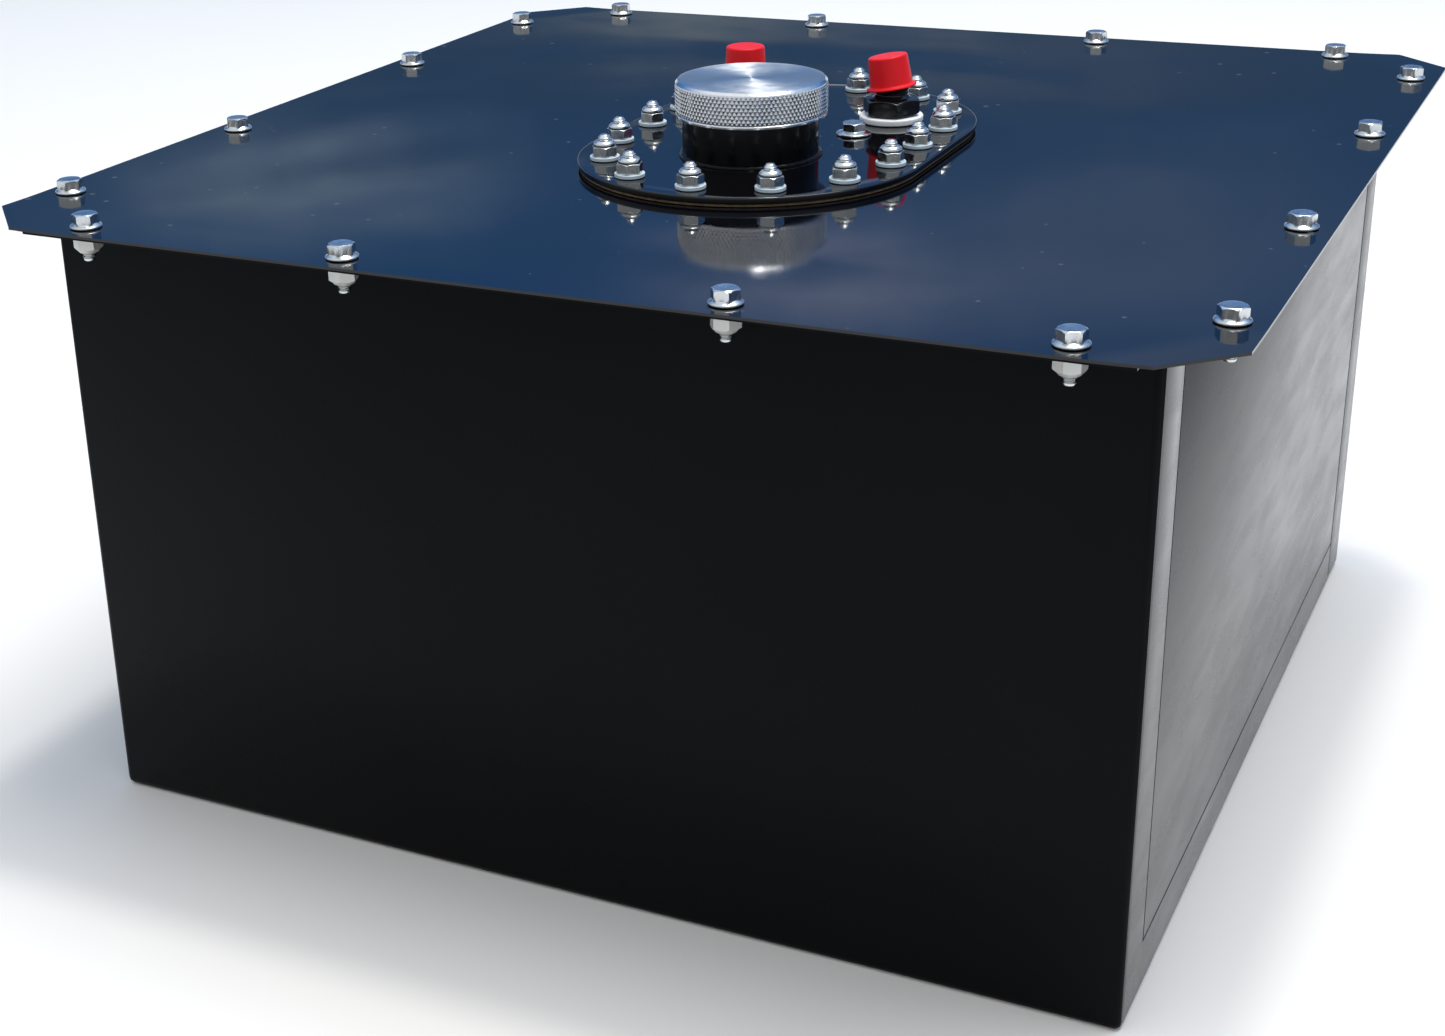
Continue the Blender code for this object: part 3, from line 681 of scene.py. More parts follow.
def drill(bm: bmesh.types.BMesh, holes: Sequence[Hole], low: float, high: float) -> bmesh.types.BMesh:
    """Cuts holes through a solid.

    Args:
        bm: the solid, which the call uses up.
        holes: the holes to cut.
        low: a height below the solid.
        high: a height above it.

    Returns:
        The solid with its holes.
    """
    cutter = bmesh.new()
    for hole in holes:
        plug = Skin(hole.segments, hole.spread, cutter)
        plug.rings(((hole.radius, low), (hole.radius, high))).close().at(hole.place)
    shapes = []
    for name, shape in (("blank", bm), ("drill", cutter)):
        bmesh.ops.recalc_face_normals(shape, faces=shape.faces)
        mesh = bpy.data.meshes.new(name)
        shape.to_mesh(mesh)
        shape.free()
        made = bpy.data.objects.new(name, mesh)
        bpy.context.scene.collection.objects.link(made)
        shapes.append(made)
    blank, tool = shapes
    cut = blank.modifiers.new("cut", "BOOLEAN")
    cut.operation = "DIFFERENCE"
    cut.object = tool
    done = bmesh.new()
    done.from_mesh(blank.evaluated_get(bpy.context.evaluated_depsgraph_get()).to_mesh())
    for made in shapes:
        mesh = made.data
        bpy.data.objects.remove(made)
        bpy.data.meshes.remove(mesh)
    return done


def piece(name: str, bm: bmesh.types.BMesh, finishes: Sequence[Finish], body: Body,
          stands_for: Sequence[str], sharp: float = 32.0, facets: bool = False) -> bpy.types.Object:
    """Turns a mesh into a finished piece on its body.

    Args:
        name: the piece's name.
        bm: its mesh, which the call uses up.
        finishes: its finishes, by material number.
        body: the body that it rides on.
        stands_for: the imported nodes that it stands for.
        sharp: the angle past which an edge is shaded sharp, in degrees.
        facets: whether its flats stay flat beside their rounded edges.

    Returns:
        The piece.
    """
    bmesh.ops.recalc_face_normals(bm, faces=bm.faces)
    mesh = bpy.data.meshes.new(name)
    bm.to_mesh(mesh)
    bm.free()
    mesh.shade_smooth()
    mesh.set_sharp_from_angle(angle=math.radians(sharp))
    made = bpy.data.objects.new(name, mesh)
    bpy.context.scene.collection.objects.link(made)
    if facets:
        made.modifiers.new("flats", "WEIGHTED_NORMAL").keep_sharp = True
    for finish in finishes:
        mesh.materials.append(finish.material())
    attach(made, body.value)
    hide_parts(*stands_for)
    log.info("%s: %d faces, on %s", name, len(mesh.polygons), body.value)
    return made


def dress(node: str, finish: Finish) -> None:
    """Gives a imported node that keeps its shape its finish.

    Args:
        node: the node's name.
        finish: its finish.
    """
    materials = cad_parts[node].data.materials
    materials.clear()
    materials.append(finish.material())


def middle(node: str) -> Point:
    """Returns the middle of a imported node, seen from above."""
    low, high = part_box(node)
    return ((low.x + high.x) / 2.0, (low.y + high.y) / 2.0)


def stadium_spread(node: str) -> float:
    """Returns how far a packed stadium's half circles stand from its middle."""
    low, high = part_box(node)
    return ((high.y - low.y) - (high.x - low.x)) / 2.0


def numbered(stem: str, count: int) -> list[str]:
    """Returns the names of a row of numbered nodes."""
    return [f"{stem}_{number:02d}" for number in range(1, count + 1)]


# ---------------------------------------------------------------- the can and its lid


@dataclass
class CanShell:
    """The folded walls and floor."""

    edge: float = 0.0004
    side_share: float = 0.75

    def refined(self, node: str) -> bmesh.types.BMesh:
        """Copies a packed wall, merges it and rounds its sheet edges.

        Args:
            node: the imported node.

        Returns:
            The finer mesh.
        """
        bm = bmesh.new()
        bm.from_mesh(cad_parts[node].data)
        bmesh.ops.remove_doubles(bm, verts=bm.verts, dist=0.00001)
        bmesh.ops.dissolve_limit(bm, angle_limit=math.radians(0.6), verts=bm.verts, edges=bm.edges)
        soften(bm, self.edge, 55.0, 2)
        return bm

    def build(self) -> None:
        """Makes the walls."""
        for node in ("wrap_panel", "side_panel_right", "side_panel_left"):
            bm = self.refined(node)
            # Faces that look along X get the side coat, whose lighter base is painted reflection on the same
            # black coat.
            for face in bm.faces:
                face.material_index = int(abs(face.normal.x) > self.side_share)
            piece(f"{node}_sheet", bm, (WALL_COAT, SIDE_COAT_PAINTED_REFLECTION), Body.TANK, (node,), 25.0)


@dataclass
class Lid:
    """The wavy, clipped-corner lid sheet."""

    sheet: float = 0.0012
    cells: int = 112
    wave: float = 0.00028
    wavelength: float = 0.19
    curl: float = 0.0004
    bolt_hole: float = 0.0031
    stud_hole: float = 0.0035
    clip: float = 0.0277
    mouth: float = 0.060

    def swell(self, x: float, y: float, half: float, plate: Point, spread: float) -> float:
        """Works out how far the sheet stands off flat.

        Args:
            x: the place across.
            y: the place back.
            half: half the lid's width.
            plate: the middle of the fill plate.
            spread: how far the plate's half circles stand from its middle.

        Returns:
            The rise, in metres.
        """
        across = abs(y - plate[1]) - spread
        out = math.hypot(x - plate[0], max(0.0, across))
        calm = min(1.0, max(0.0, (out - 0.095) / 0.06))
        edge = min(1.0, max(0.0, (half - 0.03 - max(abs(x), abs(y))) / 0.05))
        spot = Vector((x, y, 0.37)) / self.wavelength
        waves = noise.noise(spot) + 0.45 * noise.noise(spot * 2.1 + Vector((3.1, 1.7, 0.0)))
        corner = max(0.0, (abs(x) + abs(y) - 2.0 * half + 0.06) / 0.03)
        return self.wave * 2.0 * waves * calm * edge + self.curl * min(1.0, corner) ** 2

    def build(self) -> None:
        """Makes the lid with its mouth, stud holes and bolt holes."""
        low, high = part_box("lid")
        half = high.x
        bm = bmesh.new()
        bmesh.ops.create_grid(bm, x_segments=self.cells, y_segments=self.cells, size=half)
        for side in (-1.0, 1.0):
            for end in (-1.0, 1.0):
                bmesh.ops.bisect_plane(
                    bm, geom=bm.verts[:] + bm.edges[:] + bm.faces[:], dist=0.00001,
                    plane_co=(side * (half - self.clip), end * half, 0.0), plane_no=(side, end, 0.0),
                    clear_outer=True,
                )
        flat_top = high.z
        plate = middle("fill_plate")
        spread = stadium_spread("fill_plate")
        for vert in bm.verts:
            vert.co.z = flat_top + self.swell(vert.co.x, vert.co.y, half, plate, spread)
        bmesh.ops.recalc_face_normals(bm, faces=bm.faces)
        if next(iter(bm.faces)).normal.z < 0.0:
            bmesh.ops.reverse_faces(bm, faces=bm.faces)
        bmesh.ops.solidify(bm, geom=bm.faces[:], thickness=self.sheet)
        bolts = [Hole(middle(node), self.bolt_hole, segments=24) for node in numbered("lid_fastener", 16)]
        studs = [Hole(middle(node), self.stud_hole, segments=24) for node in numbered("plate_nut", 16)]
        mouth = Hole(plate, self.mouth, spread, 94)
        bm = drill(bm, [mouth, *bolts, *studs], low.z - 0.01, high.z + 0.01)
        piece("lid_sheet", bm, (LID_COAT_PAINTED_SKY_TINT,), Body.TANK, ("lid",), 40.0)


@dataclass
class LidFasteners:
    """Flange bolts on the lid, each with its lock nut under the rim."""

    flange: float = 0.0071
    head: float = 0.0105
    nut: float = 0.0111
    shank: float = 0.0030
    pitch: float = 0.0010

    def bolt(self, top: float, low: float, high: float) -> Skin:
        """Makes one bolt and nut as one skin.

        Args:
            top: the lid's top face.
            low: the height of the bolt's tip.
            high: the height of its head.

        Returns:
            The skin, about the origin.
        """
        head = hexagon(self.head)
        nut = hexagon(self.nut)
        nut_foot, nut_top = top - 0.0095, top - 0.0040
        land = self.head / 2.0 * 0.93
        skin = Skin(48)
        skin.rings(rounded((
            (0.0004, low, 0.0), (self.shank - 0.0006, low, 0.0007), (self.shank - 0.0003, low + 0.0012, 0.0),
        )))
        skin.thread(self.shank, low + 0.0014, nut_foot - 0.0017, self.pitch)
        skin.rings(rounded((
            (self.shank + 0.0002, nut_foot - 0.0012, 0.0), (0.0040, nut_foot - 0.0016, 0.0005),
            (0.0050, nut_foot - 0.0004, 0.0005), (0.0053, nut_foot, 0.0),
        )), 1)
        skin.ring(nut, chamfer(nut, 0.0053, nut_foot, -1.0), 1)
        skin.ring(nut, chamfer(nut, 0.0054, nut_top, 1.0), 1)
        skin.rings(rounded((
            (0.0055, nut_top, 0.0), (0.0068, nut_top + 0.0001, 0.0003), (0.0068, top - 0.0031, 0.0002),
            (self.shank, top - 0.0031, 0.0),
        )), 1)
        foot = top + SLIT
        skin.ring(self.shank, foot)
        skin.rings(rounded((
            (self.shank + 0.0004, foot, 0.0), (self.flange, foot, 0.0003),
            (self.flange, foot + 0.0009, 0.0004), (0.0058, foot + 0.0016, 0.0),
        )))
        skin.ring(head, foot + 0.0021)
        skin.ring(head, chamfer(head, land, high, 1.0))
        skin.rings(((land, high), (land - 0.0006, high - 0.00012), (0.0006, high - 0.00018)))
        return skin.close()

    def build(self) -> None:
        """Makes all sixteen."""
        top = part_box("lid")[1].z
        for number, node in enumerate(numbered("lid_fastener", 16)):
            low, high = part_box(node)
            skin = self.bolt(top, low.z, high.z)
            skin.at(middle(node), number * GOLDEN_TURN)
            soften(skin.bm, 0.00022, 50.0, 2)
            name = node.replace("fastener", "bolt")
            piece(name, skin.bm, (ZINC, PALE_ZINC), Body.TANK, (node,), 34.0, True)


# ---------------------------------------------------------------- the fill plate


@dataclass
class FillPlate:
    """The stadium-shaped plate, its gasket and the ring of studs under it."""

    segments: int = 190
    inner: float = 0.0610
    ring_thick: float = 0.0030
    stud: float = 0.0030
    pitch: float = 0.0010

    def slab(self, node: str, ease: float, inner: float) -> bmesh.types.BMesh:
        """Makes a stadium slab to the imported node's outline.

        Args:
            node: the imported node.
            ease: how far its edges are rounded.
            inner: the radius of its opening, or 0 for a whole slab.

        Returns:
            The slab's mesh.
        """
        low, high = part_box(node)
        radius = (high.x - low.x) / 2.0
        skin = Skin(self.segments, stadium_spread(node))
        start = inner or radius - 0.01
        skin.rings(rounded((
            (start, low.z, 0.0), (radius, low.z, ease), (radius, high.z, ease), (start, high.z, 0.0),
        )))
        if inner:
            skin.join()
        else:
            skin.close()
        return skin.at(middle(node)).bm

    def build(self) -> None:
        """Makes the plate, the gasket and the studs."""
        studs = [middle(node) for node in numbered("plate_nut", 16)]
        unions = [Hole(middle(node), 0.0096) for node in ("feed_union", "vent_union")]
        neck = Hole(middle("filler_neck"), 0.0305, segments=64)
        holes = [Hole(place, self.stud + SLIT, segments=24) for place in studs]
        low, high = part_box("fill_plate")[0].z - 0.01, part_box("fill_plate")[1].z + 0.01
        plate = drill(self.slab("fill_plate", 0.0007, 0.0), [*holes, *unions, neck], low, high)
        piece("fill_plate_coated", plate, (PLATE_COAT,), Body.TANK, ("fill_plate",))
        gasket = drill(self.slab("plate_gasket", 0.0001, 0.0612), holes, low, high)
        piece("gasket_board", gasket, (GASKET_BOARD_PAINTED_SHADE,), Body.TANK, ("plate_gasket",))
        self.build_studs(studs)

    def build_studs(self, studs: Sequence[Point]) -> None:
        """Makes the ring with its threaded, round-tipped studs.

        Args:
            studs: where the studs stand.
        """
        low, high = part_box("stud_ring")
        centre = middle("stud_ring")
        outer = (high.x - low.x) / 2.0
        top = low.z + self.ring_thick
        root = low.z + self.ring_thick * 0.5
        ring = Skin(126, stadium_spread("stud_ring"))
        ring.rings(((self.inner, low.z), (outer, low.z), (outer, top), (self.inner, top)))
        ring.join().at(centre)
        for place in studs:
            stud = Skin(20, 0.0, ring.bm)
            stud.ring(self.stud, root)
            stud.thread(self.stud, root + 0.0004, high.z - 0.0010, self.pitch)
            stud.rings((
                (self.stud - 0.0007, high.z - 0.0006), (self.stud - 0.0013, high.z - 0.0001),
                (0.0004, high.z),
            ))
            stud.close().at(place)
        piece("stud_ring_threaded", ring.bm, (ZINC,), Body.TANK, ("stud_ring",))


@dataclass
class PlateNuts:
    """Washers and lock nuts on the fill plate, and its earth bolt."""

    flats: float = 0.0109
    bore: float = 0.0034
    washer_thick: float = 0.0016
    hex_height: float = 0.0048
    groove: float = 0.0004
    earth_flats: float = 0.0105
    earth_land: float = 0.0050
    earth_shank: float = 0.0029
    earth_nut_flats: float = 0.0110
    earth_nut_height: float = 0.0048

    def nut(self, washer: float, foot: float, top: float) -> Skin:
        """Makes one washer and lock nut as one skin.

        Args:
            washer: the washer's radius.
            foot: the height of the washer's foot.
            top: the height of the nut's collar.

        Returns:
            The skin, about the origin.
        """
        outline = hexagon(self.flats)
        flat = self.flats / 2.0
        seat = foot + self.washer_thick
        shoulder = seat + self.hex_height
        collar = shoulder + self.groove
        skin = Skin(48)
        skin.ring(self.bore, foot, 2)
        skin.rings(rounded((
            (self.bore + 0.0003, foot, 0.0), (washer, foot, 0.0002), (washer, seat, 0.0002),
            (flat - 0.0001, seat, 0.0),
        )), 2)
        skin.ring(outline, chamfer(outline, flat - 0.0002, seat + 0.0001, -1.0))
        skin.ring(outline, chamfer(outline, flat - 0.0001, shoulder, 1.0))
        skin.ring(flat - 0.0002, shoulder)
        skin.ring(flat - 0.0009, shoulder, 1)
        skin.ring(flat - 0.0009, collar, 1)
        skin.rings(rounded((
            (flat - 0.0003, collar, 0.0), (flat - 0.0003, collar + 0.0010, 0.0006),
            (flat - 0.0016, top - 0.0003, 0.0007), (flat - 0.0021, top - 0.0002, 0.0),
        )))
        skin.ring(self.bore, top - 0.0003, 1)
        return skin.join()

    def build_earth_bolt(self) -> None:
        """Makes the flanged earth bolt with its nut under the plate."""
        low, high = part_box("earth_bolt")
        flange = (high.x - low.x) / 2.0
        head, nut = hexagon(self.earth_flats), hexagon(self.earth_nut_flats)
        shank, land = self.earth_shank, self.earth_land
        under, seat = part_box("fill_plate")[0].z - SLIT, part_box("fill_plate")[1].z + SLIT
        nut_foot = under - self.earth_nut_height
        skin = Skin(48)
        skin.rings(((0.0004, low.z), (shank - 0.0005, low.z), (shank, low.z + 0.0005), (shank, nut_foot)))
        skin.ring(land, nut_foot).ring(nut, chamfer(nut, land, nut_foot, -1.0)).ring(nut, under)
        skin.rings(((shank, under), (shank, seat)))
        skin.rings(rounded((
            (shank + 0.0003, seat, 0.0), (flange, seat, 0.0003), (flange, seat + 0.0009, 0.0004),
            (0.0062, seat + 0.0017, 0.0),
        )))
        skin.ring(head, seat + 0.0019)
        skin.ring(head, chamfer(head, land, high.z, 1.0))
        skin.rings(((land, high.z), (0.0006, high.z - 0.0002))).close().at(middle("earth_bolt"), 0.4)
        soften(skin.bm, 0.0002, 50.0, 2)
        piece("earth_bolt_plated", skin.bm, (ZINC,), Body.TANK, ("earth_bolt",), 34.0, True)

    def build(self) -> None:
        """Makes the nuts and the earth bolt."""
        for number, node in enumerate(numbered("plate_nut", 16)):
            low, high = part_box(node)
            skin = self.nut((high.x - low.x) / 2.0, low.z, high.z).at(middle(node), number * GOLDEN_TURN)
            soften(skin.bm, 0.00016, 50.0, 2)
            finishes = (ZINC, NYLON_INSERT, PALE_WASHER)
            piece(node.replace("nut", "lock_nut"), skin.bm, finishes, Body.TANK, (node,), 34.0, True)
        self.build_earth_bolt()


# ---------------------------------------------------------------- the filler


@dataclass
class Filler:
    """The welded neck and its knurled screw cap."""

    diamonds: int = 104
    knurl_depth: float = 0.00055
    knurl_rows: int = 4
    samples: int = 8
    chamfer: float = 0.0012
    bead: float = 0.0338
    ripples: int = 46
    neck: float = 0.0320
    bore: float = 0.0275
    shoulder: float = 0.0182
    thread_pitch: float = 0.003175

    def build_neck(self) -> None:
        """Makes the neck with its weld bead, spigot and thread."""
        low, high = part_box("filler_neck")
        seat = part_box("fill_plate")[1].z
        foot = seat + 0.0002
        shoulder = seat + self.shoulder
        wall, bore = self.neck, self.bore

        def weld(swell: float) -> Callable[[float], float]:
            """Returns the reach of the rippled bead at a share of its swell."""
            return lambda angle: wall + (self.bead - wall) * swell * (
                0.86 + 0.10 * math.sin(self.ripples * angle) + 0.08 * math.sin(3.0 * angle + 0.7)
            )

        skin = Skin(184)
        skin.rings(((bore, low.z), (bore + 0.0022, low.z), (0.0302, low.z + 0.0006), (0.0302, foot)))
        for share in range(7):
            turn = share / 6.0 * math.pi / 2.0
            skin.ring(weld(math.cos(turn)), foot + 0.0014 * math.sin(turn))
        skin.rings(rounded(((wall, foot + 0.0019, 0.0), (wall, shoulder, 0.0004), (0.0303, shoulder, 0.0))))
        skin.thread(0.0306, shoulder + 0.0008, high.z - 0.0012, self.thread_pitch)
        skin.rings(rounded(((0.0296, high.z - 0.0008, 0.0), (0.0296, high.z, 0.0004), (bore, high.z, 0.0))))
        skin.join().at(middle("filler_neck"))
        piece("filler_neck_welded", skin.bm, (NECK_COAT,), Body.TANK, ("filler_neck",))

    def knurl(self, angle: float, climb: float) -> float:
        """Gives the height of the knurl's diamonds.

        Args:
            angle: the angle round the cap.
            climb: the height in rows of diamonds.

        Returns:
            The height above the grooves, in metres.
        """
        around = angle * self.diamonds / (2.0 * math.pi)
        ridges = []
        for lean in (-1.0, 1.0):
            phase = (around + lean * climb) % 1.0
            ridges.append(1.0 - abs(2.0 * phase - 1.0))
        return self.knurl_depth * min(1.0, 1.25 * min(ridges))

    def build_cap(self) -> None:
        """Makes the cap: lip, knurled band, polished chamfer, turned top and hollow underside."""
        low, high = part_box("filler_cap")
        radius = (high.x - low.x) / 2.0
        root = radius - self.knurl_depth
        band_low, band_high = low.z + 0.0016, high.z - self.chamfer - 0.0002
        count = self.knurl_rows * self.samples
        skin = Skin(self.diamonds * self.samples)
        skin.rings(rounded((
            (radius - 0.0035, low.z, 0.0), (radius - 0.0002, low.z, 0.0004),
            (radius - 0.0002, band_low - 0.0003, 0.0002), (root, band_low, 0.0),
        )))
        for step in range(count + 1):
            share = step / count
            fade = min(1.0, min(share, 1.0 - share) * count / 2.0)
            climb = share * self.knurl_rows
            level = band_low + (band_high - band_low) * share
            skin.ring(lambda angle: root + fade * self.knurl(angle, climb), level)
        skin.rings((
            (radius - 0.0002, band_high + 0.0001), (radius - 0.0013, high.z - 0.0001),
            (radius - 0.0016, high.z),
        ))
        for step in range(1, 13):
            skin.ring(radius - 0.0016 - (radius - 0.0018) * step / 12.0, high.z - 0.00008, 1)
        bmesh.ops.edgeloop_fill(skin.bm, edges=skin.rim, mat_nr=1)
        skin.rim = skin.first
        skin.rings(((0.0312, low.z), (0.0312, high.z - 0.0034), (0.0004, high.z - 0.0034)))
        bmesh.ops.edgeloop_fill(skin.bm, edges=skin.rim)
        centre = middle("filler_cap")
        skin.at(centre)
        self.lay_turned_map(skin, centre)
        turned = TurnedFace("turned_alloy_top", "turned_alloy", (0.74, 0.74, 0.73), 0.33, metal=1.0,
                            mottle=0.04, rough_swing=0.05, texture=0.000012, centre=centre)
        piece("filler_cap_knurled", skin.bm, (KNURLED, turned), Body.CAP, ("filler_cap",), 28.0)

    def lay_turned_map(self, skin: Skin, centre: Point) -> None:
        """Lays a map that runs round the cap in U and outwards in V.

        Args:
            skin: the cap's skin.
            centre: the cap's axis.
        """
        layer = skin.bm.loops.layers.uv.new("turned")
        for face in skin.bm.faces:
            spots = [(loop.vert.co.x - centre[0], loop.vert.co.y - centre[1]) for loop in face.loops]
            turns = [math.atan2(y, x) / (2.0 * math.pi) for x, y in spots]
            wraps = max(turns) - min(turns) > 0.5 and len(turns) == 4
            for loop, spot, turn in zip(face.loops, spots, turns):
                whole = 1.0 if wraps and turn < 0.0 else 0.0
                loop[layer].uv = (turn + whole, math.hypot(*spot) * 10.0)

    def build(self) -> None:
        """Makes the neck and the cap, and dresses the seal and the flap."""
        self.build_neck()
        self.build_cap()
        dress("cap_seal", NITRILE)
        dress("filler_flap", STEEL)
        dress("flap_pin", STEEL)


# ---------------------------------------------------------------- hose unions


@dataclass
class HoseUnion:
    """One black hose union on its nylon washer, with its red dust cap."""

    stem: str
    cap_body: Body
    lean: float
    flats: float = 0.0254
    hexagon_height: float = 0.0082
    thread: float = 0.0086
    nose: float = 0.0062
    bore: float = 0.0050
    brim: float = 0.0124
    cap_foot: float = 0.0165
    cap_height: float = 0.0158
    cap_waist: float = 0.0105
    cap_top: float = 0.0096
    cap_wall: float = 0.0009
    pitch: float = 0.0016

    def build_union(self) -> None:
        """Makes the union: shank, hexagon, thread and nose."""
        low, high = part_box(f"{self.stem}_union")
        washer_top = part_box(f"{self.stem}_washer")[1].z
        foot = washer_top + SLIT
        top = foot + self.hexagon_height
        land = self.flats / 2.0 * 0.99
        outline = hexagon(self.flats)
        skin = Skin(72)
        skin.rings(((self.bore, low.z), (0.0088, low.z), (0.0093, low.z + 0.0006), (0.0093, foot)))
        skin.ring(0.0110, foot)
        skin.ring(outline, chamfer(outline, land - 0.0004, foot, -1.0))
        skin.ring(outline, chamfer(outline, land, top, 1.0))
        skin.rings(rounded(((land - 0.0002, top, 0.0), (0.0092, top, 0.0004), (0.0080, top + 0.0014, 0.0))))
        skin.thread(self.thread, top + 0.0018, high.z - 0.0062, self.pitch)
        skin.rings((
            (0.0078, high.z - 0.0056), (self.nose, high.z - 0.0006), (self.nose - 0.0004, high.z),
            (self.bore, high.z),
        ))
        skin.join().at(middle(f"{self.stem}_union"), math.radians(30.0))
        soften(skin.bm, 0.0003, 50.0, 2)
        piece(
            f"{self.stem}_union_black", skin.bm, (ANODISED,), Body.TANK, (f"{self.stem}_union",), 34.0, True,
        )

    def build_washer(self) -> None:
        """Makes the nylon washer."""
        low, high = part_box(f"{self.stem}_washer")
        radius = (high.x - low.x) / 2.0
        skin = Skin(72)
        skin.rings(rounded((
            (0.0096, low.z, 0.0), (radius, low.z, 0.0006), (radius, high.z, 0.0009), (0.0096, high.z, 0.0),
        ))).join().at(middle(f"{self.stem}_washer"))
        piece(f"{self.stem}_washer_nylon", skin.bm, (NYLON,), Body.TANK, (f"{self.stem}_washer",))

    def build_cap(self) -> None:
        """Makes the tapered dust cap with its foot flange and hollow inside."""
        low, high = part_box(f"{self.stem}_dust_cap")
        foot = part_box("fill_plate")[1].z + self.cap_foot
        top = foot + self.cap_height
        skin = Skin(64)
        skin.rings(rounded((
            (0.00975, foot, 0.0), (self.brim, foot, 0.0003), (self.brim, foot + 0.0009, 0.0004),
            (self.cap_waist, foot + 0.0014, 0.0005), (self.cap_top, top, 0.0012),
            (0.0006, top - 0.0004, 0.0),
        ), 5))
        bmesh.ops.edgeloop_fill(skin.bm, edges=skin.rim)
        skin.rim = skin.first
        skin.rings((
            (0.00970, foot + 0.0002), (self.cap_top - self.cap_wall, top - 0.0022), (0.0004, top - 0.0016),
        ))
        bmesh.ops.edgeloop_fill(skin.bm, edges=skin.rim)
        skin.at(middle(f"{self.stem}_union"), 0.0, self.lean, foot)
        piece(f"{self.stem}_dust_cap_red", skin.bm, (VINYL,), self.cap_body, (f"{self.stem}_dust_cap",))
        log.info("%s dust cap: packed %.4f to %.4f m high", self.stem, low.z, high.z)

    def build(self) -> None:
        """Makes the union, washer and cap, and dresses the nut below."""
        self.build_union()
        self.build_washer()
        self.build_cap()
        dress(f"{self.stem}_union_nut", ANODISED)


@dataclass
class Internals:
    """What the can holds: the liner, the foam, the pickup and the vent valve."""

    def build(self) -> None:
        """Dresses the inner nodes, which keep their shapes."""
        finishes = {
            "inner_cell": LINER, "foam_block": FOAM, "pickup_tube": STEEL, "pickup_strainer": WIRE,
            "rollover_cage": NYLON, "rollover_ball": STEEL,
        }
        for node, finish in finishes.items():
            dress(node, finish)


# ---------------------------------------------------------------- the studio


@dataclass(frozen=True)
class Glow:
    """A soft patch of brightness in the sky."""

    azimuth: float
    height: float
    width: float
    depth: float
    light: Colour


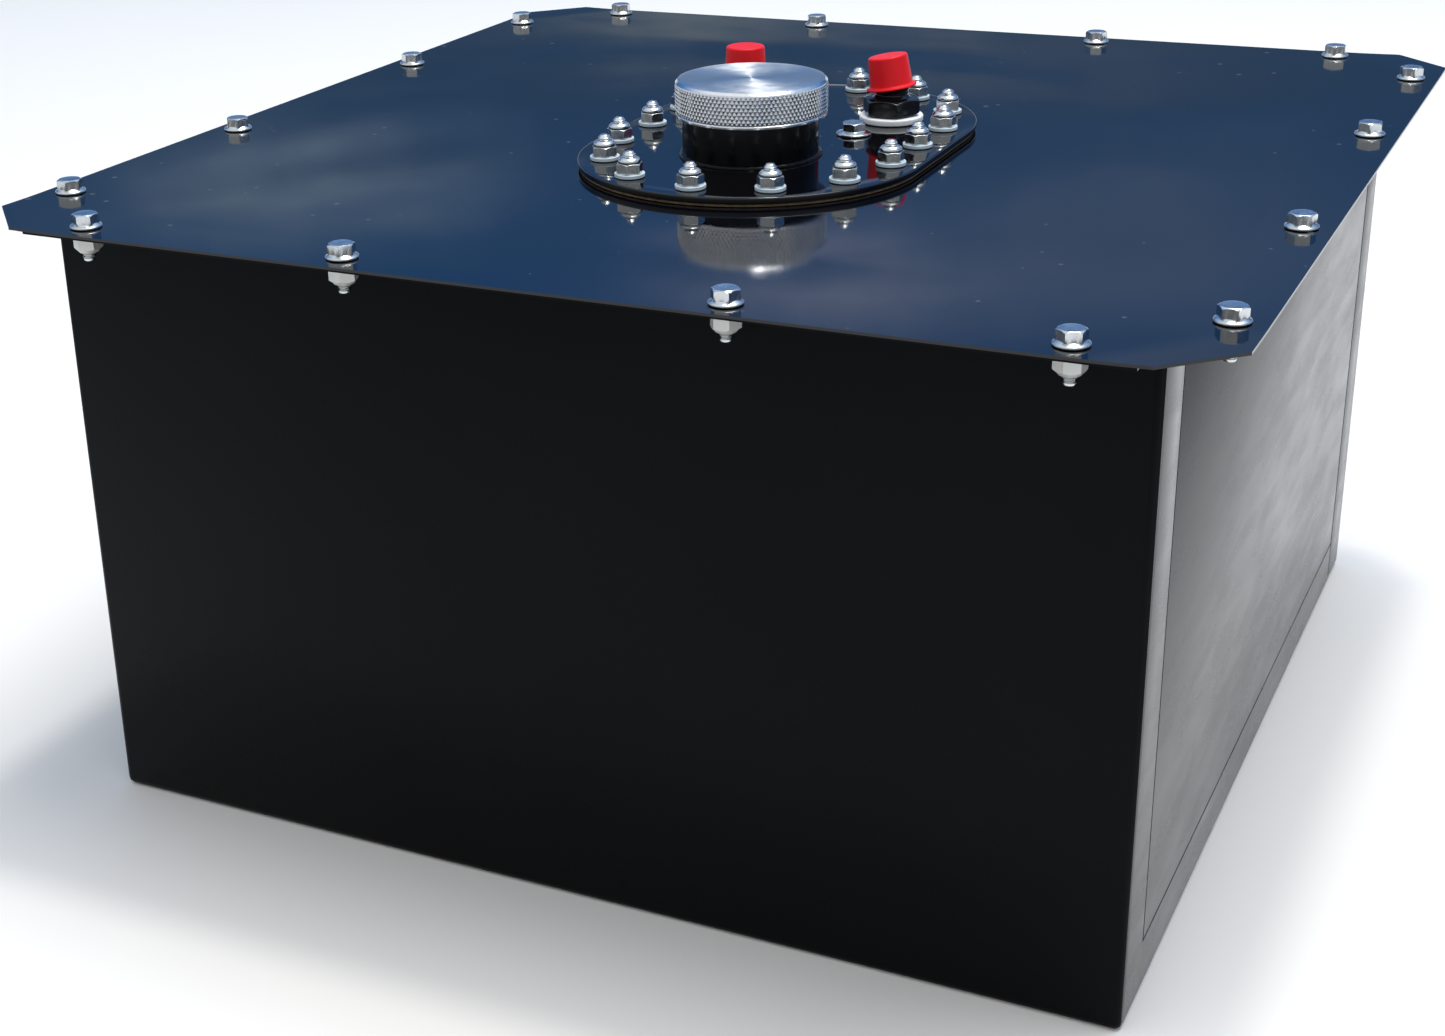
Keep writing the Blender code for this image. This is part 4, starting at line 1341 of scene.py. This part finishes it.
@dataclass
class Studio:
    """The floor, the lights, the sky that the lid mirrors, and the camera."""

    floor_half: float = 14.0
    patches: tuple[Glow, ...] = (
        Glow(35.0, 14.3, 3.2, 0.9, (0.25, 0.28, 0.25)),
        Glow(21.0, 17.2, 3.3, 0.8, (0.32, 0.28, 0.25)),
        Glow(25.0, 10.4, 2.5, 0.5, (0.20, 0.20, 0.15)),
        Glow(12.5, 16.5, 4.0, 1.6, (0.12, 0.10, 0.05)),
        Glow(15.5, 11.4, 3.0, 0.5, (0.06, 0.05, 0.03)),
        Glow(19.0, 10.9, 2.0, 0.4, (0.08, 0.08, 0.08)),
    )

    def build_floor(self) -> None:
        """Lays the pale floor."""
        bm = bmesh.new()
        bmesh.ops.create_grid(bm, x_segments=1, y_segments=1, size=self.floor_half)
        mesh = bpy.data.meshes.new("floor")
        bm.to_mesh(mesh)
        bm.free()
        floor = bpy.data.objects.new("floor", mesh)
        bpy.context.scene.collection.objects.link(floor)
        for vert in mesh.vertices:
            vert.co.z = -0.0002
        paint = Finish("floor_paint", "", (0.84, 0.82, 0.79), 0.75, mottle=0.015, mottle_size=0.4,
                       specular=0.2, texture=0.00002)
        mesh.materials.append(paint.material())

    def build_light(
        self, name: str, place: Vector, aim: Vector, size: float, power: float, tint: Colour,
    ) -> None:
        """Hangs one soft light.

        Args:
            name: its name.
            place: where it hangs.
            aim: the point that it faces.
            size: its width.
            power: its power, in watts.
            tint: its colour.
        """
        lamp = bpy.data.lights.new(name, "AREA")
        lamp.shape = "DISK"
        lamp.size = size
        lamp.energy = power
        lamp.color = tint
        hung = bpy.data.objects.new(name, lamp)
        hung.location = place
        hung.rotation_euler = (aim - place).to_track_quat("-Z", "Y").to_euler()
        bpy.context.scene.collection.objects.link(hung)

    def build_sky(self) -> None:
        """Makes the sky: blue with bright patches behind the can, neutral in front of it."""
        world = bpy.data.worlds.new("sky")
        world.use_nodes = True
        bpy.context.scene.world = world
        sheet = Sheet("sky", world.node_tree)
        split = sheet.node("SeparateXYZ", None, {0: sheet.place})
        x, y, z = split.outputs
        height = sheet.maths("DEGREES", sheet.maths("ARCSINE", z))
        azimuth = sheet.maths("DEGREES", sheet.maths("ARCTAN2", sheet.maths("MULTIPLY", x, -1.0), y))
        drift = sheet.maths("MULTIPLY", sheet.maths("SUBTRACT", sheet.cloud(0.06, 4.0), 0.5), 5.0)
        lift = sheet.maths("MULTIPLY", sheet.maths("SUBTRACT", sheet.cloud(0.035, 4.0), 0.5), 1.6)
        far = sheet.mix(sheet.remap(height, 11.0, 17.5, 0.0, 1.0), (0.055, 0.12, 0.24), (0.05, 0.19, 0.50))
        high = sheet.mix(sheet.remap(height, 20.0, 55.0, 0.0, 1.0), far, (0.62, 0.78, 1.0))
        for patch in self.patches:
            squares = []
            for place, middle_of, reach in (
                (sheet.maths("ADD", azimuth, drift), patch.azimuth, patch.width),
                (sheet.maths("ADD", height, lift), patch.height, patch.depth),
            ):
                share = sheet.maths("DIVIDE", sheet.maths("SUBTRACT", place, middle_of), reach)
                squares.append(sheet.maths("MULTIPLY", share, share))
            square = sheet.maths("ADD", *squares)
            fade = sheet.maths("EXPONENT", sheet.maths("MULTIPLY", square, -0.5))
            glow = sheet.mix(fade, (0.0, 0.0, 0.0), patch.light)
            high = sheet.node("VectorMath", {"operation": "ADD"}, {0: high, 1: glow}).outputs[0]
        front = sheet.mix(sheet.remap(height, 0.0, 50.0, 0.0, 1.0), (0.42, 0.44, 0.46), (0.95, 0.97, 1.0))
        behind = sheet.remap(y, -0.25, 0.25, 0.0, 1.0)
        above = sheet.mix(behind, front, high)
        colour = sheet.mix(sheet.remap(height, 3.0, 8.0, 0.0, 1.0), (0.80, 0.84, 0.90), above)
        background = world.node_tree.nodes["Background"]
        sheet.feed(background.inputs[0], colour)
        background.inputs[1].default_value = 1.0

    def build_camera(self) -> None:
        """Sets the camera in front of the can's left corner, looking down on it."""
        data = bpy.data.cameras.new("camera")
        data.sensor_width = 36.0
        data.lens = 54.88
        data.shift_x = 0.0855
        data.shift_y = -0.0222
        data.clip_start, data.clip_end = 0.01, 200.0
        camera = bpy.data.objects.new("camera", data)
        camera.location = (0.4108, -1.0003, 0.5502)
        camera.rotation_euler = (1.1815, 0.0311, 0.4664)
        bpy.context.scene.collection.objects.link(camera)
        bpy.context.scene.camera = camera

    def build(self) -> None:
        """Makes the studio."""
        bpy.context.scene.view_settings.view_transform = "Standard"
        self.build_floor()
        self.build_sky()
        self.build_camera()
        can = Vector((0.1, 0.0, 0.0))
        lid = Vector((0.0, 0.0, 0.3))
        self.build_light("key", Vector((0.9, 0.5, 4.2)), can, 2.4, 110.0, (1.0, 0.98, 0.95))
        self.build_light("spot", Vector((0.1, 0.35, 3.2)), lid, 0.3, 26.0, (1.0, 0.97, 0.92))


def main() -> None:
    """Builds every sub-assembly and the studio."""
    logging.basicConfig(level=logging.INFO, format="%(message)s")
    Studio().build()
    CanShell().build()
    Lid().build()
    LidFasteners().build()
    FillPlate().build()
    PlateNuts().build()
    Filler().build()
    HoseUnion("feed", Body.FEED_CAP, math.radians(9.0)).build()
    HoseUnion("vent", Body.VENT_CAP, 0.0).build()
    Internals().build()


if __name__ == "__main__":
    main()
